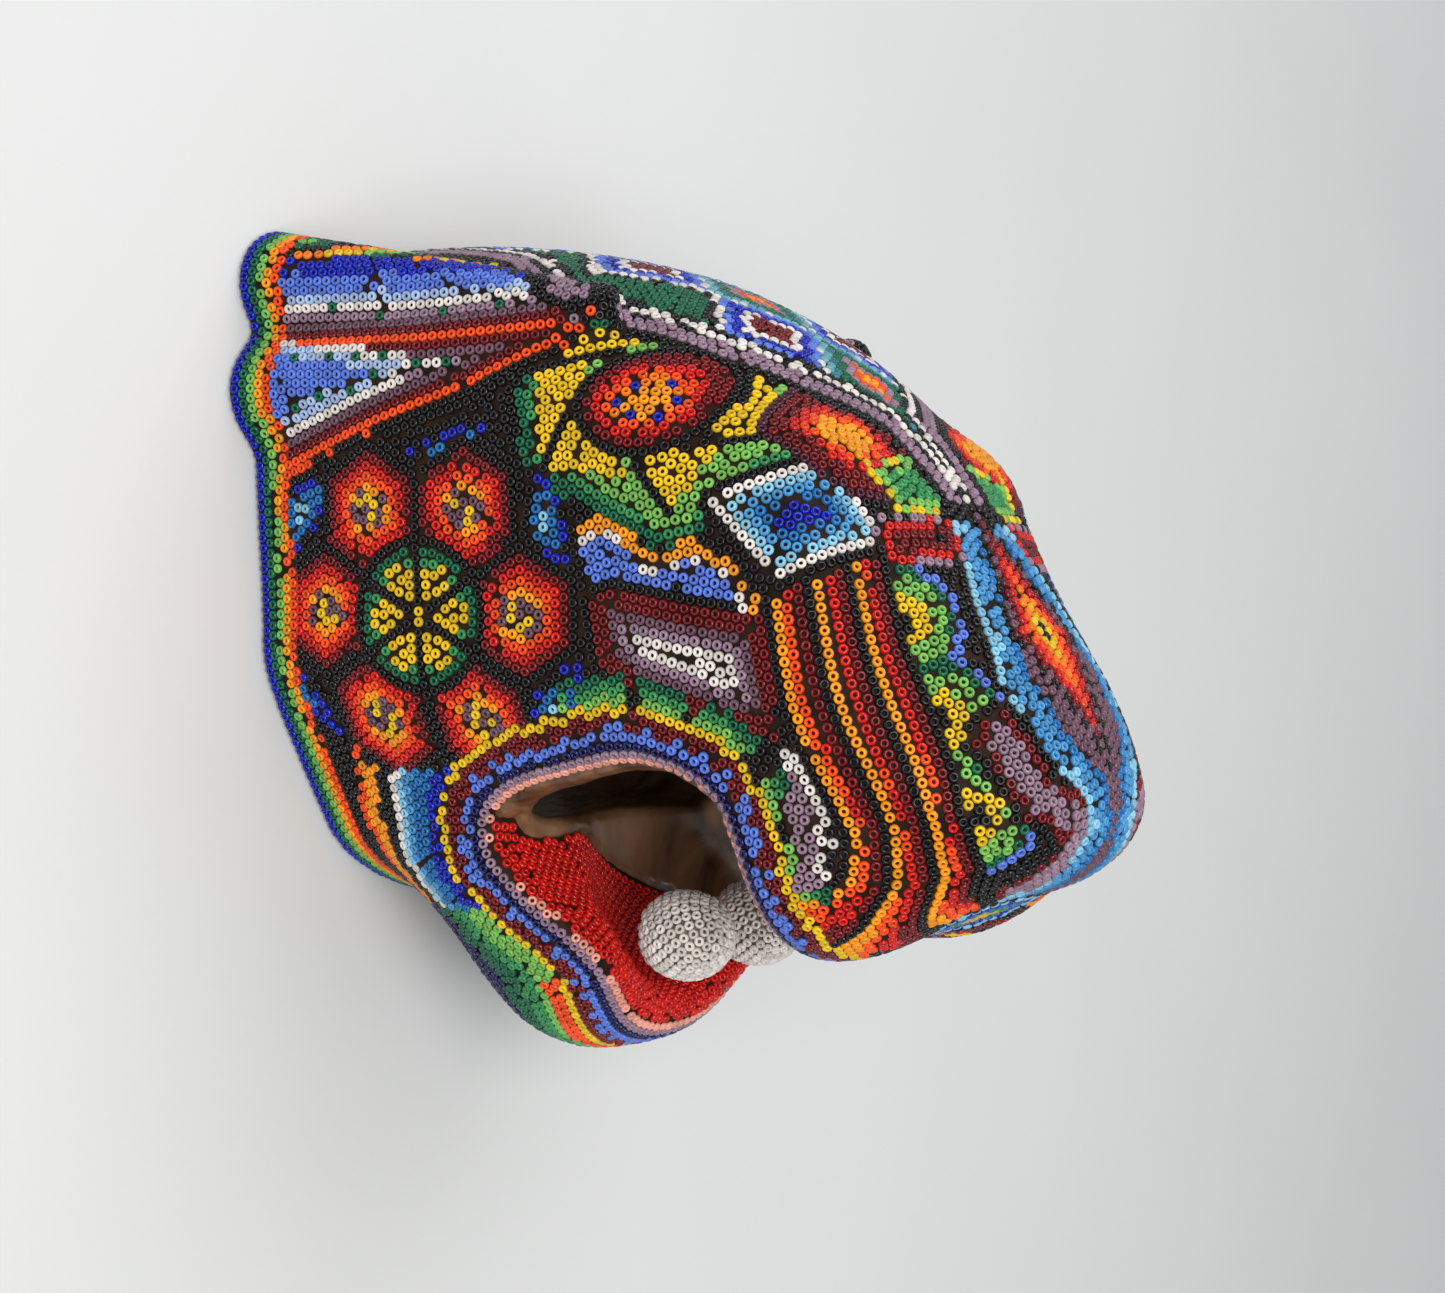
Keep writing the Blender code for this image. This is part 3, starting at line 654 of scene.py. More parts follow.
CORNER_LEAVES = [
    [(-33, 72), (-27, 77), (-14, 78), (-20, 69)], [(3, 80), (18, 78), (17, 68), (11, 69)], [(-43, 61),
    (-33, 56), (-37.5, 42)], [(-34, 23), (-24, 18), (-16, 8), (-30, 9)], [(20, 18), (12, 8), (5, 10)]]
STRIPE_TOP = [(-19, 133), (-14, 134.5), (-1, 139), (13, 145), (23, 149), (34, 151.5), (41, 151), (47, 146)]
STRIPE_LOW = [
    (-24, 110), (-16, 116), (-9, 119), (2, 121), (12, 122.5), (20, 125), (28, 129), (35, 132), (42, 131),
    (46, 127), (47, 122), (44, 119)]
STRIPE_OUTLINE = np.array(STRIPE_TOP + [(54, 140), (60, 124), (64, 112), (52, 108), (44, 119)]
                          + STRIPE_LOW[::-1][1:], float)
STRIPE_ROWS = 15
ARCH_CENTRES = [(-4, 138.5), (14, 146.5), (32, 153)]
ARCH_RADII = (9.6, 10.4, 9.4)
LIP_PANEL = [
    (21, 124), (29, 128), (37, 130), (43, 128), (46, 124), (45, 120), (38, 116), (30, 113), (22, 110),
    (18, 114)]
LIP_LEAF = [(21, 122.5), (29, 127), (37, 129), (43, 127), (45, 123.5), (36, 124), (28, 122.5)]
FLAME = [(-49, 111), (-46, 118), (-37, 126.5), (-31, 130), (-27, 131), (-28, 128), (-34, 122), (-40, 113)]
LEAF = [(-40, 126), (-34, 131), (-25, 137), (-25, 132.5), (-33, 127.5)]
SQUARES = [(-24, 137), (-15, 141), (-14, 135), (-23, 131.5)]
# Along the top of the muzzle, as X, Y, Z: the zigzag edge of the bridge, and the chevron on the nose
BRIDGE_EDGE = [
    (-27, -3, 136), (-23, -10, 137), (-18, -14, 139), (-15, -14, 142), (-8, -17, 145), (0, -19, 150),
    (8, -22, 153), (13, -20, 156), (19, -20, 159), (22, -18, 161), (25, -13, 163), (29, -10, 165),
    (35, -9, 165), (40, -10, 162), (44, -11, 157), (48, -11, 150), (51, -10, 143)]
NOSE_CHEVRON = [(17, -27, 155), (28, -22, 160), (33, -12, 164), (40, -12, 162), (47, -13, 152)]
CROWN_EDGE = [
    (-27, -6, 135), (-43, -9, 121), (-49, -21, 113), (-56, -34, 99), (-61, -40, 85), (-67, -50, 72),
    (-79, -34, 46), (-85, -34, 24), (-87, -34, 4)]


def petal_centre(number):
    angle = math.radians(PETAL_ANGLES[number])
    return FLOWER_CENTRE[0] + PETAL_REACH * math.cos(angle), FLOWER_CENTRE[1] + PETAL_REACH * math.sin(angle)


def petal_corners(number):
    angle = math.radians(PETAL_ANGLES[number])
    x, z = petal_centre(number)
    turns = [angle + math.radians(30 + 60 * n) for n in range(6)]
    return [(x + PETAL_RADIUS * math.cos(t), z + PETAL_RADIUS * math.sin(t)) for t in turns]


def circle_corners(centre, radii, count=32):
    turns = [2 * math.pi * n / count for n in range(count)]
    return [(centre[0] + radii[0] * math.cos(t), centre[1] + radii[1] * math.sin(t)) for t in turns]


def arch_corners(number):
    centre, radius = ARCH_CENTRES[number], ARCH_RADII[number]
    turns = [math.radians(25 + 180 * n / 14) for n in range(15)]
    return [(centre[0] + radius * math.cos(t), centre[1] + radius * math.sin(t)) for t in turns]


def bare_jaw(points):
    """Positive behind the slanting edge where the red lining of the lower jaw stops."""
    x, y, z = points.T
    inside_mouth = carved_outside(x, y, z) < -2 * LIP_TURN
    return np.where(inside_mouth & (y > -20), 49 + 0.55 * y - x, -9.0)


# ---------------------------------------------------------------- the surfaces

skin_points, skin_quads = traced_surface(head, (-94, -76, -6), (94, 76, 174), FINE_STEP)
skin_points = settled(head, skin_points, 3)
skin_faces = np.concatenate([skin_quads[:, :3], skin_quads[:, (0, 2, 3)]])
skin_points, skin_faces = clipped(skin_points, skin_faces, -skin_points[:, 2])
skin_normals = surface_normals(skin_points, skin_faces)
skin_tree = tree_of(skin_points, skin_faces)
covered = np.maximum(covered_zone(skin_points), bare_jaw(skin_points))

# The part where bead centres may sit, on the near half
ground = (skin_points, skin_faces)
ground = clipped(*ground, covered_zone(ground[0]) + 0.5)
ground = clipped(*ground, RIM_CLEARANCE + 0.5 * PITCH - ground[0][:, 2])
ground = clipped(*ground, ground[0][:, 1] - 0.01)
ground_tree = tree_of(*ground)

lip_level = carved_outside(*ground[0].T) + LIP_ROW_DEPTH
lip_level = np.where(ground[0][:, 2] < 8, 1.0, lip_level)
lip_lines = [line for line in level_lines(*ground, lip_level) if len(line) > 8]
rim_line = max(level_lines(*ground, ground[0][:, 2] - RIM_CLEARANCE - 0.56 * PITCH), key=len)
middle_lines = [line for line in level_lines(*ground, -0.3 - ground[0][:, 1]) if len(line) > 8]
for line in middle_lines:
    line[:, 1] = 0.0

layout = BeadLayout(ground_tree)
for line in middle_lines + lip_lines:
    layout.seed(line)
layout.seed(rim_line)


def on_side(corners):
    """An open run of corners in the side view, on the near side of the head."""
    return lifted_from_side(corners, skin_tree, False)


def side_seed(corners, closed=False, rank=0):
    layout.seed(lifted_from_side(corners, skin_tree, closed), rank)


for n in range(3):
    angle = math.radians(60 * n)
    reach_x, reach_z = (ROSETTE_RADIUS - 1.5) * math.cos(angle), (ROSETTE_RADIUS - 1.5) * math.sin(angle)
    side_seed([(FLOWER_CENTRE[0] - reach_x, FLOWER_CENTRE[1] - reach_z),
               (FLOWER_CENTRE[0] + reach_x, FLOWER_CENTRE[1] + reach_z)])
side_seed(circle_corners(FLOWER_CENTRE, (ROSETTE_RADIUS, ROSETTE_RADIUS)), True)
for n in range(6):
    side_seed(petal_corners(n), True)
side_seed(EYE_DIAMOND, True)
side_seed(STRIPE_TOP)
side_seed(STRIPE_LOW)
side_seed(circle_corners(SUN_CENTRE, SUN_RADII), True)
for corners in SUN_LINES:
    side_seed(corners)
for corners in (EAR_OUTER, EAR_GROOVE, EAR_BACK):
    side_seed(corners)
side_seed(CHEEK_LEAF, True)
side_seed(LIP_PANEL, True)
layout.seed(laid_down(BRIDGE_EDGE, skin_tree))
layout.seed(laid_down(CROWN_EDGE, skin_tree))
for n in range(3):
    side_seed(arch_corners(n))
for corners in (FLAME, LEAF, SQUARES, SUN_GROUND, *CORNER_LEAVES):
    side_seed(corners, True, 1)
ground_top = distance_to(on_side(STRIPE_TOP), ground[0])
ground_low = distance_to(on_side(STRIPE_LOW), ground[0])
share = ground_top / (ground_top + ground_low)
for part in (1 / 3, 2 / 3):
    for line in level_lines(*ground, share - part):
        inside = outline_distance(line[:, 0], line[:, 2], STRIPE_OUTLINE) < 0
        if inside.sum() > 10:
            layout.seed(line[inside])
layout.fill()
near_points = eased_apart(layout)

# ---------------------------------------------------------------- painting the motifs

art = Painter(near_points, skin_tree)
x, y, z = art.x, art.y, art.z

# Back and nape, behind the ears: bands that follow the rim
nape = x < NAPE_FRONT
art.bands(nape, z, ((60, "black"), (52, "green"), (46, "light_green"), (42, "yellow"), (38, "orange"),
                    (32, "orange_red"), (28, "black"), (25, "green"), (20, "yellow"), (15, "amber")))

# Sun panel
sun_line = lifted_from_side(SUN_GROUND, skin_tree)
sun_inside = outline_distance(x, z, SUN_GROUND) < 0
art.rings(sun_inside, distance_to(sun_line, near_points), ["dark_green", "green", "light_green"], 0.6)
for corners in SUN_BLADES:
    art.panel(corners, ["yellow"], None, 0.0)
for corners in SUN_LINES:
    art.line(on_side(corners), "black", 0.42)
disc = np.hypot((x - SUN_CENTRE[0]) / SUN_RADII[0], (z - SUN_CENTRE[1]) / SUN_RADII[1])
art.bands(True, disc, ((1.12, "black"), (0.98, "dark_red"), (0.72, "red"), (0.60, "orange_red"),
                       (0.47, "orange"), (0.34, "amber")))
for n in range(6):
    angle = math.radians(30 + 60 * n)
    place = on_side([(SUN_CENTRE[0] + 3.9 * math.cos(angle), SUN_CENTRE[1] + 4.9 * math.sin(angle))] * 2)
    art.nearest(place[0], "royal")

# Flower panel
for corners in CORNER_LEAVES:
    art.panel(corners, ["royal", "blue", "light_blue"], None, 0.1)
for n in range(6):
    art.panel(petal_corners(n), ["dark_red", "red", "orange_red", "amber", "yellow"])
    centre = petal_centre(n)
    swirl = [(centre[0] + a * 0.95, centre[1] + b * 0.95) for a, b in SWIRL]
    art.line(on_side(swirl), "mauve", 0.42)
across, up = x - FLOWER_CENTRE[0], z - FLOWER_CENTRE[1]
reach = np.hypot(across, up)
turn = np.degrees(np.arctan2(up, across))
sector = np.abs((turn + 360) % 60 - 30)
rosette = reach < ROSETTE_RADIUS + 0.5 * ROW
art.bands(rosette, reach, ((99, "black"), (ROSETTE_RADIUS - 0.5 * ROW, "dark_green"), (11.6, "green"),
                           (9.4, "light_green")))
art.paint(rosette & (reach < 9.6) & (sector < 24), "yellow")
art.paint(rosette & (reach < 11.0) & (sector < 9), "yellow")
spoke = (30 - sector) * math.pi / 180 * reach
art.paint(rosette & (np.abs(spoke) < 0.45 * PITCH) & (reach > 2.2), "black")
art.paint(reach < 1.4, "yellow")

# Cheek
art.panel(CHEEK_LEAF, ["dark_red", "dark_red", "mauve", "lavender", "white"])
art.panel(FEATHER, ["periwinkle"], None, 0.2)
fringe = distance_to(on_side(FEATHER[3:] + FEATHER[:1]), near_points)
feathered = outline_distance(x, z, FEATHER) < 1
art.paint(feathered & (fringe < 1.5 * ROW), "white")
art.paint(feathered & (fringe < 0.8 * ROW), "amber")

# Stripes from the eye to the upper lip
top_line = on_side(STRIPE_TOP)
low_line = on_side(STRIPE_LOW)
from_top = distance_to(top_line, near_points)
from_low = distance_to(low_line, near_points)
striped = outline_distance(x, z, STRIPE_OUTLINE) < 0
band = np.floor(from_top / (from_top + from_low) * STRIPE_ROWS + 0.5).astype(int) % 5
for n, name in enumerate(("black", "dark_red", "red", "orange_red", "amber")):
    art.paint(striped & (band == n), name)

# Eye, on top of the ends of the stripes
eye_line = lifted_from_side(EYE_DIAMOND, skin_tree)
art.paint((distance_to(eye_line, near_points) < 1.6 * ROW) & (x < -8), "black")
art.panel(EYE_DIAMOND, ["light_blue", "sky", "blue", "royal", "black"], "white")

# Forehead between the eye and the crown
art.panel(FLAME, ["dark_red", "dark_red", "red", "orange_red", "amber"], "plum")
art.panel(LEAF, ["light_green", "green"], "yellow")
art.panel(SQUARES, ["red", "dark_red", "black"], "lavender")

# Three arches above the stripes
top_height = np.interp(x, [p[0] for p in STRIPE_TOP], [p[1] for p in STRIPE_TOP])
above = (z > top_height) & (x > -17) & (x < 44) & (y < -14)
for n in range(3):
    centre = on_side([ARCH_CENTRES[n]] * 2)[0]
    away = np.linalg.norm(near_points - centre, axis=1)
    here = above & (from_top > 0.6 * ROW) & ~striped
    for limit, name in ((12.8, "periwinkle"), (10.8, "dark_green"), (9.0, "light_green"), (5.4, "yellow"),
                        (2.0, "black")):
        art.paint(here & (away < limit) & ((art.colour == NAMES.index("black")) | (away < 10.8)), name)
art.paint(from_top < 0.5 * ROW, "black")

# Lip panel
art.panel(LIP_PANEL, ["black"])

# Ear
ear_outer = on_side(EAR_OUTER)
ear_groove = on_side(EAR_GROOVE)
ear_back = on_side(EAR_BACK)
to_outer, to_groove, to_back = (distance_to(line, near_points) for line in (ear_outer, ear_groove, ear_back))
ear_shape = EAR_OUTER + [(-33, 6), (-86, 6)] + EAR_BACK[::-1]
ear_inside = (outline_distance(x, z, ear_shape) < 0) & (y < 0)
groove_x = np.interp(z, [p[1] for p in EAR_GROOVE[::-1]], [p[0] for p in EAR_GROOVE[::-1]])
front_lobe = ear_inside & (x > groove_x)
back_lobe = ear_inside & (x <= groove_x)
art.paint(front_lobe, "lavender")
for limit, name in ((3.4, "mauve"), (2.5, "dark_red"), (1.4, "orange_red")):
    art.paint(front_lobe & (to_outer < limit * ROW), name)
    art.paint(front_lobe & (to_groove < (limit - 0.8) * ROW), name)
for n, name in enumerate(("orange_red", "dark_red", "mauve", "lavender", "white", "pale_blue", "periwinkle",
                          "periwinkle", "royal")):
    art.paint(back_lobe & (to_groove >= (n - 0.5) * ROW), name)
art.paint(back_lobe & (to_back < 0.8 * ROW), "royal")
behind = (to_groove > 9.5 * ROW) & (x < groove_x) & (y < -30) & (z < 70)
wave = (z + 3.5 * np.abs((to_groove % 9) - 4.5)) % 26
art.bands(behind, wave, ((26, "black"), (20, "dark_green"), (15, "light_green"), (10, "yellow"),
                         (5, "orange")))
chevron = (50 - z) * 0.27 - np.abs(x + 52.5 + (z - 12) * 0.06)
for limit, name in ((0.0, "white"), (2.0, "pale_blue"), (4.2, "periwinkle")):
    art.paint(front_lobe & (chevron > limit) & (to_outer > 3 * ROW), name)
for place in EAR_DOTS:
    spot = on_side([place] * 2)
    art.nearest(spot[0], "dark_green")
art.paint(ear_inside & (to_outer < 0.6 * ROW), "orange_red")

# Bridge of the nose, and the nose
bridge_line = laid_down(BRIDGE_EDGE, skin_tree)
from_edge = distance_to(bridge_line, near_points)
edge_y = np.interp(x, [p[0] for p in BRIDGE_EDGE], [p[1] for p in BRIDGE_EDGE])
on_top = (y > edge_y) & (x > CROWN_FRONT) & (z > 125) & (x < 52)
art.rings(on_top, from_edge, ["light_blue", "sky", "sky", "blue", "mauve"], 0.5)
diamond = np.abs(x + 2) / 21 + np.abs(y) / 10.5
art.bands(on_top, diamond, ((1.25, "black"), (1.1, "mauve"), (1.0, "dark_red"), (0.82, "red"),
                            (0.64, "orange_red"), (0.46, "orange"), (0.28, "yellow"), (0.1, "black")))
nose_line = laid_down(NOSE_CHEVRON, skin_tree)
from_nose = distance_to(nose_line, near_points)
for limit, name in ((3.6, "black"), (2.6, "dark_red"), (1.5, "lavender")):
    art.paint(~on_top & (from_nose < limit * ROW) & (z > 140) & (from_top > ROW), name)

# Half flower under the nose
from_tip = np.linalg.norm(near_points - np.array(UNDER_NOSE), axis=1)
art.bands(x > 45, from_tip, ((15, "black"), (13, "light_blue"), (11, "royal"), (8.5, "blue"), (6.5, "green"),
                             (4, "yellow")))

# Crown panel
crown_line = laid_down(CROWN_EDGE, skin_tree)
from_crown = distance_to(crown_line, near_points)
crown_y = np.interp(z, [p[2] for p in CROWN_EDGE[::-1]], [p[1] for p in CROWN_EDGE[::-1]])
on_crown = (y > crown_y) & (x < CROWN_FRONT)
down = (x + 26) * -0.55 + (135 - z) * 0.83
art.paint(on_crown, "dark_green")
cell = np.abs((down % 34) - 17) / 17 + np.abs(np.abs(y) - 15) / 17
art.bands(on_crown, cell, ((1.15, "black"), (1.0, "white"), (0.86, "periwinkle"), (0.7, "royal"),
                           (0.52, "white"), (0.38, "dark_red")))
spine = np.abs(((down + 17) % 34) - 17) / 17 + np.abs(y) / 15
art.bands(on_crown, spine, ((1.0, "sea"), (0.85, "teal"), (0.7, "dark_green"), (0.5, "lavender"),
                            (0.35, "orange_red"), (0.2, "amber")))
zigzag = np.abs((down % 8) - 4)
art.paint(on_crown & (from_crown < 4.6 * ROW), "black")
art.paint(on_crown & (from_crown < 3.0 * ROW + zigzag * 0.5), "white")
art.paint(from_crown < 2.4 * ROW, "black")
art.paint(on_crown & (from_crown < 1.9 * ROW), "lavender")
art.paint((from_crown < 0.9 * ROW) & (x < CROWN_FRONT), "lavender")

# Border round the mouth and the lining of the lower jaw
lip = np.concatenate([dense(line) for line in lip_lines])
from_lip = distance_to(lip, near_points)
outside = carved_outside(x, y, z) > -LIP_ROW_DEPTH
mouth_near = outline_distance(x, z, MOUTH_OUTLINE)
art.paint(~outside & (z > 12), "red")
inner_row = np.floor(from_lip / ROW + 0.5).astype(int)
art.paint(~outside & (inner_row == 1), "pink")
below = outside & (x > 19) & (z < 66) & (mouth_near > 0)
throat = below & ((x > 26) | (z < 20))
for limit, name in ((6, "royal"), (8, "blue"), (10, "sky"), (11, "light_blue"), (12, "white"), (13, "black"),
                    (15, "amber"), (17, "orange_red"), (18, "black")):
    art.paint(throat & (inner_row >= limit), name)
chin = below & (x > 55)
for limit, name in ((6, "light_green"), (9, "green"), (11, "dark_green"), (14, "navy")):
    art.paint(chin & (inner_row >= limit), name)
art.paint(chin & (x > 70) & (inner_row > 5) & (inner_row < 8), "orange_red")
border = outside & (mouth_near < 15) & (z > 12)
along = along_line(lip, near_points)
teeth = outside & (mouth_near < 24) & (x < 48) & (z > 74) & (y < -20)
for n, name in ((6, "light_green"), (7, "green"), (8, "dark_green")):
    art.paint(teeth & (inner_row == n) & (along % 9.5 > 2.4), name)
for n, name in enumerate(("lavender", "navy", "periwinkle", "dark_red", "dark_red", "yellow")):
    art.paint(border & (inner_row == n), name)
art.paint(border & (inner_row == 3) & (along % 5.2 < 2.4), "periwinkle")
art.paint(inner_row == 0, "lavender")
art.panel(LIP_LEAF, ["lavender", "dark_red"], "lavender")
art.line(on_side(LIP_LEAF[:4]), "white", 0.5)

# Rows round the neck rim
art.bands(carved_outside(x, y, z) > -3, z, ((10.2, "orange_red"), (8.6, "amber"), (6.8, "light_green"),
                                           (5.0, "dark_green"), (3.2, "royal")))

# ---------------------------------------------------------------- both halves of the head

on_middle = near_points[:, 1] > -0.05
far_points = near_points[~on_middle] * (1, -1, 1)
bead_points = np.concatenate([near_points, far_points])
bead_colours = np.concatenate([art.colour, art.colour[~on_middle]])
kept = bare_jaw(bead_points) < -0.4 * PITCH
bead_points, bead_colours = bead_points[kept], bead_colours[kept]

bead_points = settled(head, bead_points)
bead_axes = slope(head, bead_points)
bead_axes /= np.linalg.norm(bead_axes, axis=1, keepdims=True)
bead_centres = bead_points - bead_axes * BEAD_SINK

# ---------------------------------------------------------------- materials

def plain(name, colour, roughness, coat=0.0, shine=0.5):
    material = bpy.data.materials.new(name)
    material.use_nodes = True
    shader = material.node_tree.nodes["Principled BSDF"]
    shader.inputs["Base Color"].default_value = (*colour, 1)
    shader.inputs["Roughness"].default_value = roughness
    shader.inputs["Coat Weight"].default_value = coat
    shader.inputs["Coat Roughness"].default_value = 0.08
    shader.inputs["Specular IOR Level"].default_value = shine
    return material


GLASS = [plain(f"glass_{name}_{n}", tuple(min(1, c * tint) for c in SHADES[name]), 0.2, 0.0, 0.42)
         for name in NAMES for n, tint in enumerate(TINTS)]


def mottled(name, dark, light, scale, stretch, roughness, coat, bump, shine=0.3):
    """A material whose colour drifts between two shades along stretched noise."""
    material = plain(name, light, roughness, coat, shine)
    nodes, links = material.node_tree.nodes, material.node_tree.links
    shader = nodes["Principled BSDF"]
    where = nodes.new("ShaderNodeTexCoord")
    turn = nodes.new("ShaderNodeMapping")
    turn.inputs["Scale"].default_value = stretch
    noise = nodes.new("ShaderNodeTexNoise")
    noise.inputs["Scale"].default_value = scale
    noise.inputs["Detail"].default_value = 6
    noise.inputs["Distortion"].default_value = 0.6
    ramp = nodes.new("ShaderNodeValToRGB")
    ramp.color_ramp.elements[0].position = 0.32
    ramp.color_ramp.elements[0].color = (*dark, 1)
    ramp.color_ramp.elements[1].position = 0.7
    ramp.color_ramp.elements[1].color = (*light, 1)
    dent = nodes.new("ShaderNodeBump")
    dent.inputs["Strength"].default_value = bump
    dent.inputs["Distance"].default_value = 0.0006
    links.new(where.outputs["Object"], turn.inputs["Vector"])
    links.new(turn.outputs["Vector"], noise.inputs["Vector"])
    links.new(noise.outputs["Fac"], ramp.inputs["Fac"])
    links.new(ramp.outputs["Color"], shader.inputs["Base Color"])
    links.new(noise.outputs["Fac"], dent.inputs["Height"])
    links.new(dent.outputs["Normal"], shader.inputs["Normal"])
    return material


WOOD = mottled("varnished_wood", (0.05, 0.02, 0.01), (0.30, 0.15, 0.07), 60, (0.35, 1, 3.2), 0.38, 0.15, 0.4)
WAX = mottled("beeswax", (0.010, 0.005, 0.003), (0.035, 0.016, 0.008), 160, (1, 1, 1), 0.6, 0.0, 0.3, 0.12)
PEG = mottled("peg_wood", (0.30, 0.22, 0.15), (0.5, 0.4, 0.3), 120, (1, 1, 0.3), 0.55, 0.0, 0.2)

# ---------------------------------------------------------------- building the pieces

def hand_over(name, mesh, node):
    """Put a mesh in the scene in place of a node of the frame."""
    piece = bpy.data.objects.new(name, mesh)
    bpy.context.collection.objects.link(piece)
    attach(piece, "root")
    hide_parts(node)


def add_piece(name, points, faces, material, node):
    mesh = bpy.data.meshes.new(name)
    mesh.from_pydata((points * MM).tolist(), [], faces.tolist())
    mesh.materials.append(material)
    mesh.shade_smooth()
    hand_over(name, mesh, node)


# Half of a bead cut through its hole, as distance from the hole's middle and height
BEAD_OUTLINE = [(0.36, -0.30), (0.40, 0.32), (0.60, 0.60), (0.87, 0.50), (1.08, 0.02), (0.92, -0.42)]
BEAD_SIDES = 10
MOST_BEADS = 1900         # in one piece


def bead_template():
    turns = 2 * np.pi * np.arange(BEAD_SIDES) / BEAD_SIDES
    points = np.array([(r * np.cos(t), r * np.sin(t), h) for r, h in BEAD_OUTLINE for t in turns])
    quads = []
    for ring in range(len(BEAD_OUTLINE) - 1):
        for n in range(BEAD_SIDES):
            after = (n + 1) % BEAD_SIDES
            a, b = ring * BEAD_SIDES + n, ring * BEAD_SIDES + after
            quads.append((b, a, a + BEAD_SIDES, b + BEAD_SIDES))
    return points, np.array(quads)


def add_beads(name, centres, axes, colours, node, seed):
    """One bead at each centre, with its hole along the axis, none exactly alike."""
    rng = np.random.default_rng(seed)
    template, quads = bead_template()
    count = len(centres)
    axes = axes + rng.normal(0, 0.05, (count, 3))
    axes /= np.linalg.norm(axes, axis=1, keepdims=True)
    start = rng.normal(0, 1, (count, 3))
    u = np.cross(axes, start)
    u /= np.linalg.norm(u, axis=1, keepdims=True)
    v = np.cross(axes, u)
    wide = rng.normal(1.0, 0.02, (count, 1, 1))
    tall = rng.normal(1.0, 0.04, (count, 1, 1))
    centres = centres + axes * rng.normal(0, 0.04, (count, 1))
    flat = template[None, :, :1] * u[:, None] + template[None, :, 1:2] * v[:, None]
    points = centres[:, None] + wide * flat + tall * template[None, :, 2:] * axes[:, None]
    points = points.reshape(-1, 3) * MM
    corners = (quads[None] + (np.arange(count) * len(template))[:, None, None]).reshape(-1)
    mesh = bpy.data.meshes.new(name)
    mesh.vertices.add(len(points))
    mesh.vertices.foreach_set("co", points.ravel())
    mesh.loops.add(len(corners))
    mesh.loops.foreach_set("vertex_index", corners)
    mesh.polygons.add(len(corners) // 4)
    mesh.polygons.foreach_set("loop_start", np.arange(0, len(corners), 4))
    shade = colours * len(TINTS) + rng.integers(0, len(TINTS), count)
    used, numbers = np.unique(shade, return_inverse=True)
    for number in used:
        mesh.materials.append(GLASS[number])
    mesh.polygons.foreach_set("material_index", np.repeat(numbers, len(quads)))
    mesh.polygons.foreach_set("use_smooth", np.ones(len(corners) // 4, bool))
    mesh.update()
    mesh.validate()
    hand_over(name, mesh, node)


def field_of(points):
    """The name of the bead field that each point lies in."""
    x, y, z = points.T
    names = np.full(len(points), "", dtype=object)
    crown_edge = np.abs(y) - strip_half_width(z)
    bridge_edge = np.abs(y) - bridge_half_width(x)
    outer = outer_zone(points) < 0

    def claim(name, where):
        names[(names == "") & where] = name

    claim("jaw_lining", ~outer & (lining_zone(points) < 1.0))
    claim("rim", z < RIM_HEIGHT)
    claim("mouth_border", outline_distance(x, z, MOUTH_OUTLINE) < MOUTH_BORDER)
    claim("crown", (x < -26) & (crown_edge < 0))
    claim("nose", (x > 41) & (z > 134) & (np.abs(y) < 15))
    claim("bridge", (x > -26) & (z > 120) & (bridge_edge < 0))
    for name, outline, least in SIDE_FIELDS:
        inside = outline_distance(x, z, outline) < 0
        claim(name + "_right", inside & (y < -least))
        claim(name + "_left", inside & (y > least))
    claim("chin", (x > 58) & (z < 80))
    claim("throat", (x > 20) & (z < 70))
    known = np.flatnonzero(names != "")
    tree = places_tree(points[known])
    for n in np.flatnonzero(names == ""):
        names[n] = names[known[tree.find(points[n])[1]]]
    return names


fields = field_of(bead_points)
for seed, name in enumerate(sorted(set(fields))):
    own = np.flatnonzero(fields == name)
    shares = np.array_split(own, 1 + len(own) // MOST_BEADS)
    for number, share in enumerate(shares):
        piece_name = name + "_glass_beads" + (f"_{number + 1}" if len(shares) > 1 else "")
        add_beads(piece_name, bead_centres[share], bead_axes[share], bead_colours[share],
                  name + "_beads", seed)

# Wood: the carved form under the wax, with gouge marks in the hollow
under = covered < 0.3
places = skin_points - skin_normals * (WOOD_DROP * under)[:, None]
rng = np.random.default_rng(5)
gouges = rng.uniform((-90, -70, 0), (90, 70, 170), (GOUGES, 3))
gouge_tree = places_tree(gouges)
bare = np.flatnonzero(~under)
depth = np.array([max(0.0, GOUGE_DEPTH - 0.02 * gouge_tree.find(places[n])[2] ** 2) for n in bare])
places[bare] -= skin_normals[bare] * depth[:, None]
places[:, 2] = np.maximum(places[:, 2], 0)
add_piece("carved_wood", places, skin_faces, WOOD, "head_core")

wax_points, wax_faces = clipped(skin_points, skin_faces, covered)
wax_points, wax_faces = clipped(wax_points, wax_faces, RIM_CLEARANCE - wax_points[:, 2])
wax_normals = surface_normals(wax_points, wax_faces)
bumps = np.sin(wax_points * 1.9).sum(1) * 0.05
wax_points = wax_points - wax_normals * (WAX_DEPTH + bumps)[:, None]
add_piece("wax", wax_points, wax_faces, WAX, "wax_coat")


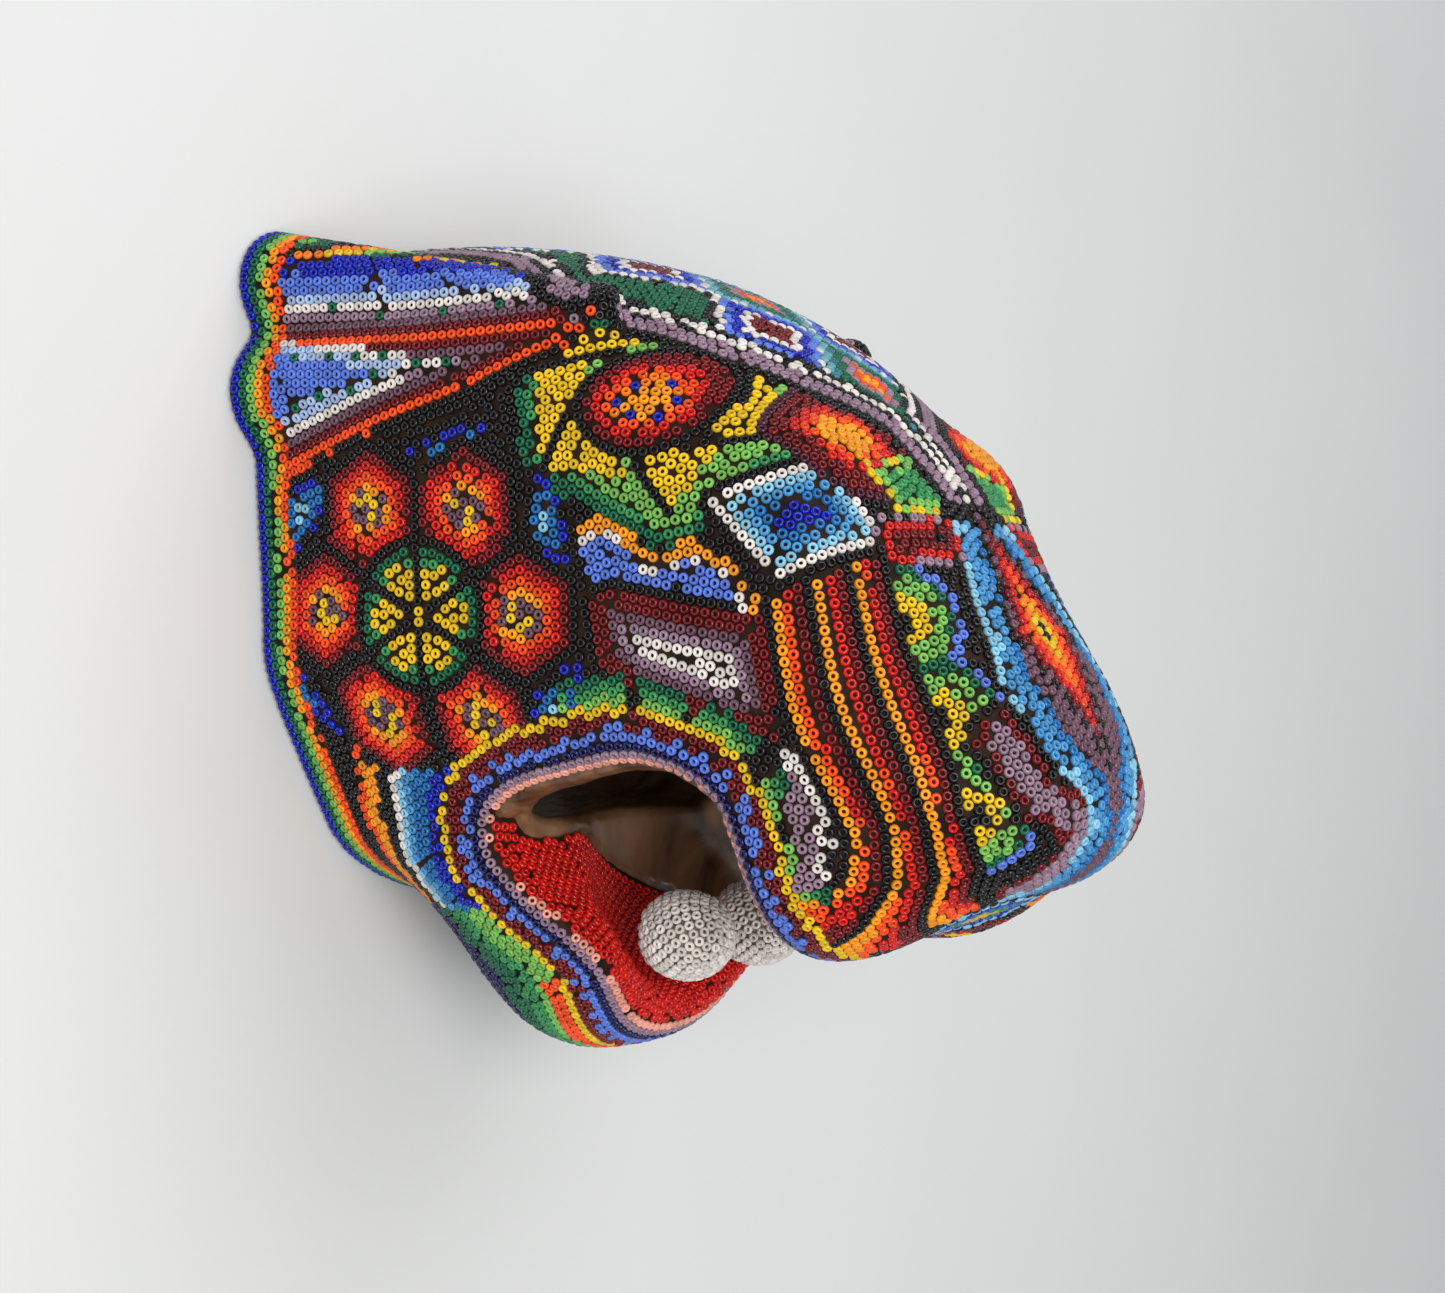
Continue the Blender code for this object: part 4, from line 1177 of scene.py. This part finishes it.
# Fangs
def fang_beads(place):
    """Beads spiralling evenly down the side of a fang from its tip."""
    radii = np.array(FANG_RADII) - BEAD_SINK
    low = math.cos(FANG_COVER)
    area = 2 * math.pi * radii.prod() ** (2 / 3) * (1 - low)
    count = int(area / (PITCH * ROW))
    share = (np.arange(count) + 0.5) / count
    level = 1 - share * (1 - low)
    turn = np.arange(count) * math.pi * (3 - math.sqrt(5))
    around = np.sqrt(1 - level ** 2)
    ball = np.stack([around * np.cos(turn), around * np.sin(turn), level], 1)
    axes = ball / radii
    return ball * radii + place, axes / np.linalg.norm(axes, axis=1, keepdims=True)


for suffix, side in (("right", -1), ("left", 1)):
    place = np.array((FANG_PLACE[0], side * FANG_PLACE[1], FANG_PLACE[2]))
    centres, axes = fang_beads(place)
    add_beads("fang_glass_beads_" + suffix, centres, axes, np.full(len(centres), NAMES.index("white")),
              "fang_beads_" + suffix, 40 + side)
    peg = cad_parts["fang_peg_" + suffix]
    peg.data.materials.clear()
    peg.data.materials.append(PEG)

# ---------------------------------------------------------------- table, light and camera

bpy.ops.mesh.primitive_plane_add(size=TABLE_SIZE, location=(0, 0, 0))
table = bpy.context.object
table.name = "table"
TABLE_TOP = mottled("table_top", (0.74, 0.745, 0.73), (0.78, 0.785, 0.77), 3, (1, 1, 1), 0.45, 0.0, 0.02)
table.data.materials.append(TABLE_TOP)

world = bpy.data.worlds.new("room")
bpy.context.scene.world = world
world.use_nodes = True
world.node_tree.nodes["Background"].inputs["Color"].default_value = (0.93, 0.96, 1.0, 1)
world.node_tree.nodes["Background"].inputs["Strength"].default_value = 0.42


def add_light(name, place, target, size, power, colour):
    lamp = bpy.data.lights.new(name, "AREA")
    lamp.shape = "RECTANGLE"
    lamp.size, lamp.size_y = size
    lamp.energy = power
    lamp.color = colour
    light = bpy.data.objects.new(name, lamp)
    light.location = place
    light.rotation_euler = (Vector(target) - Vector(place)).to_track_quat("-Z", "Y").to_euler()
    bpy.context.collection.objects.link(light)


add_light("window", (0.1, -0.75, 1.15), (0, 0, 0.05), (1.0, 0.8), 13, (1.0, 0.99, 0.97))
add_light("ceiling", (-0.9, 0.3, 1.2), (0, 0, 0.05), (1.0, 1.0), 6.5, (0.97, 0.98, 1.0))

ELEVATION = math.radians(35)
TARGET = Vector((0.00095, 0, 0.075))
DISTANCE = 0.45
FOCAL_LENGTH = 53.07
lens = bpy.data.cameras.new("camera")
lens.sensor_width = 36
lens.lens = FOCAL_LENGTH
lens.dof.use_dof = False
camera = bpy.data.objects.new("camera", lens)
back = Vector((0, -math.cos(ELEVATION), math.sin(ELEVATION)))
right = Vector((0, math.sin(ELEVATION), math.cos(ELEVATION)))
up = back.cross(right)
turned = Matrix((right, up, back)).transposed().to_4x4()
camera.matrix_world = Matrix.Translation(TARGET + back * DISTANCE) @ turned
bpy.context.collection.objects.link(camera)
bpy.context.scene.camera = camera
bpy.context.scene.view_settings.view_transform = "Standard"
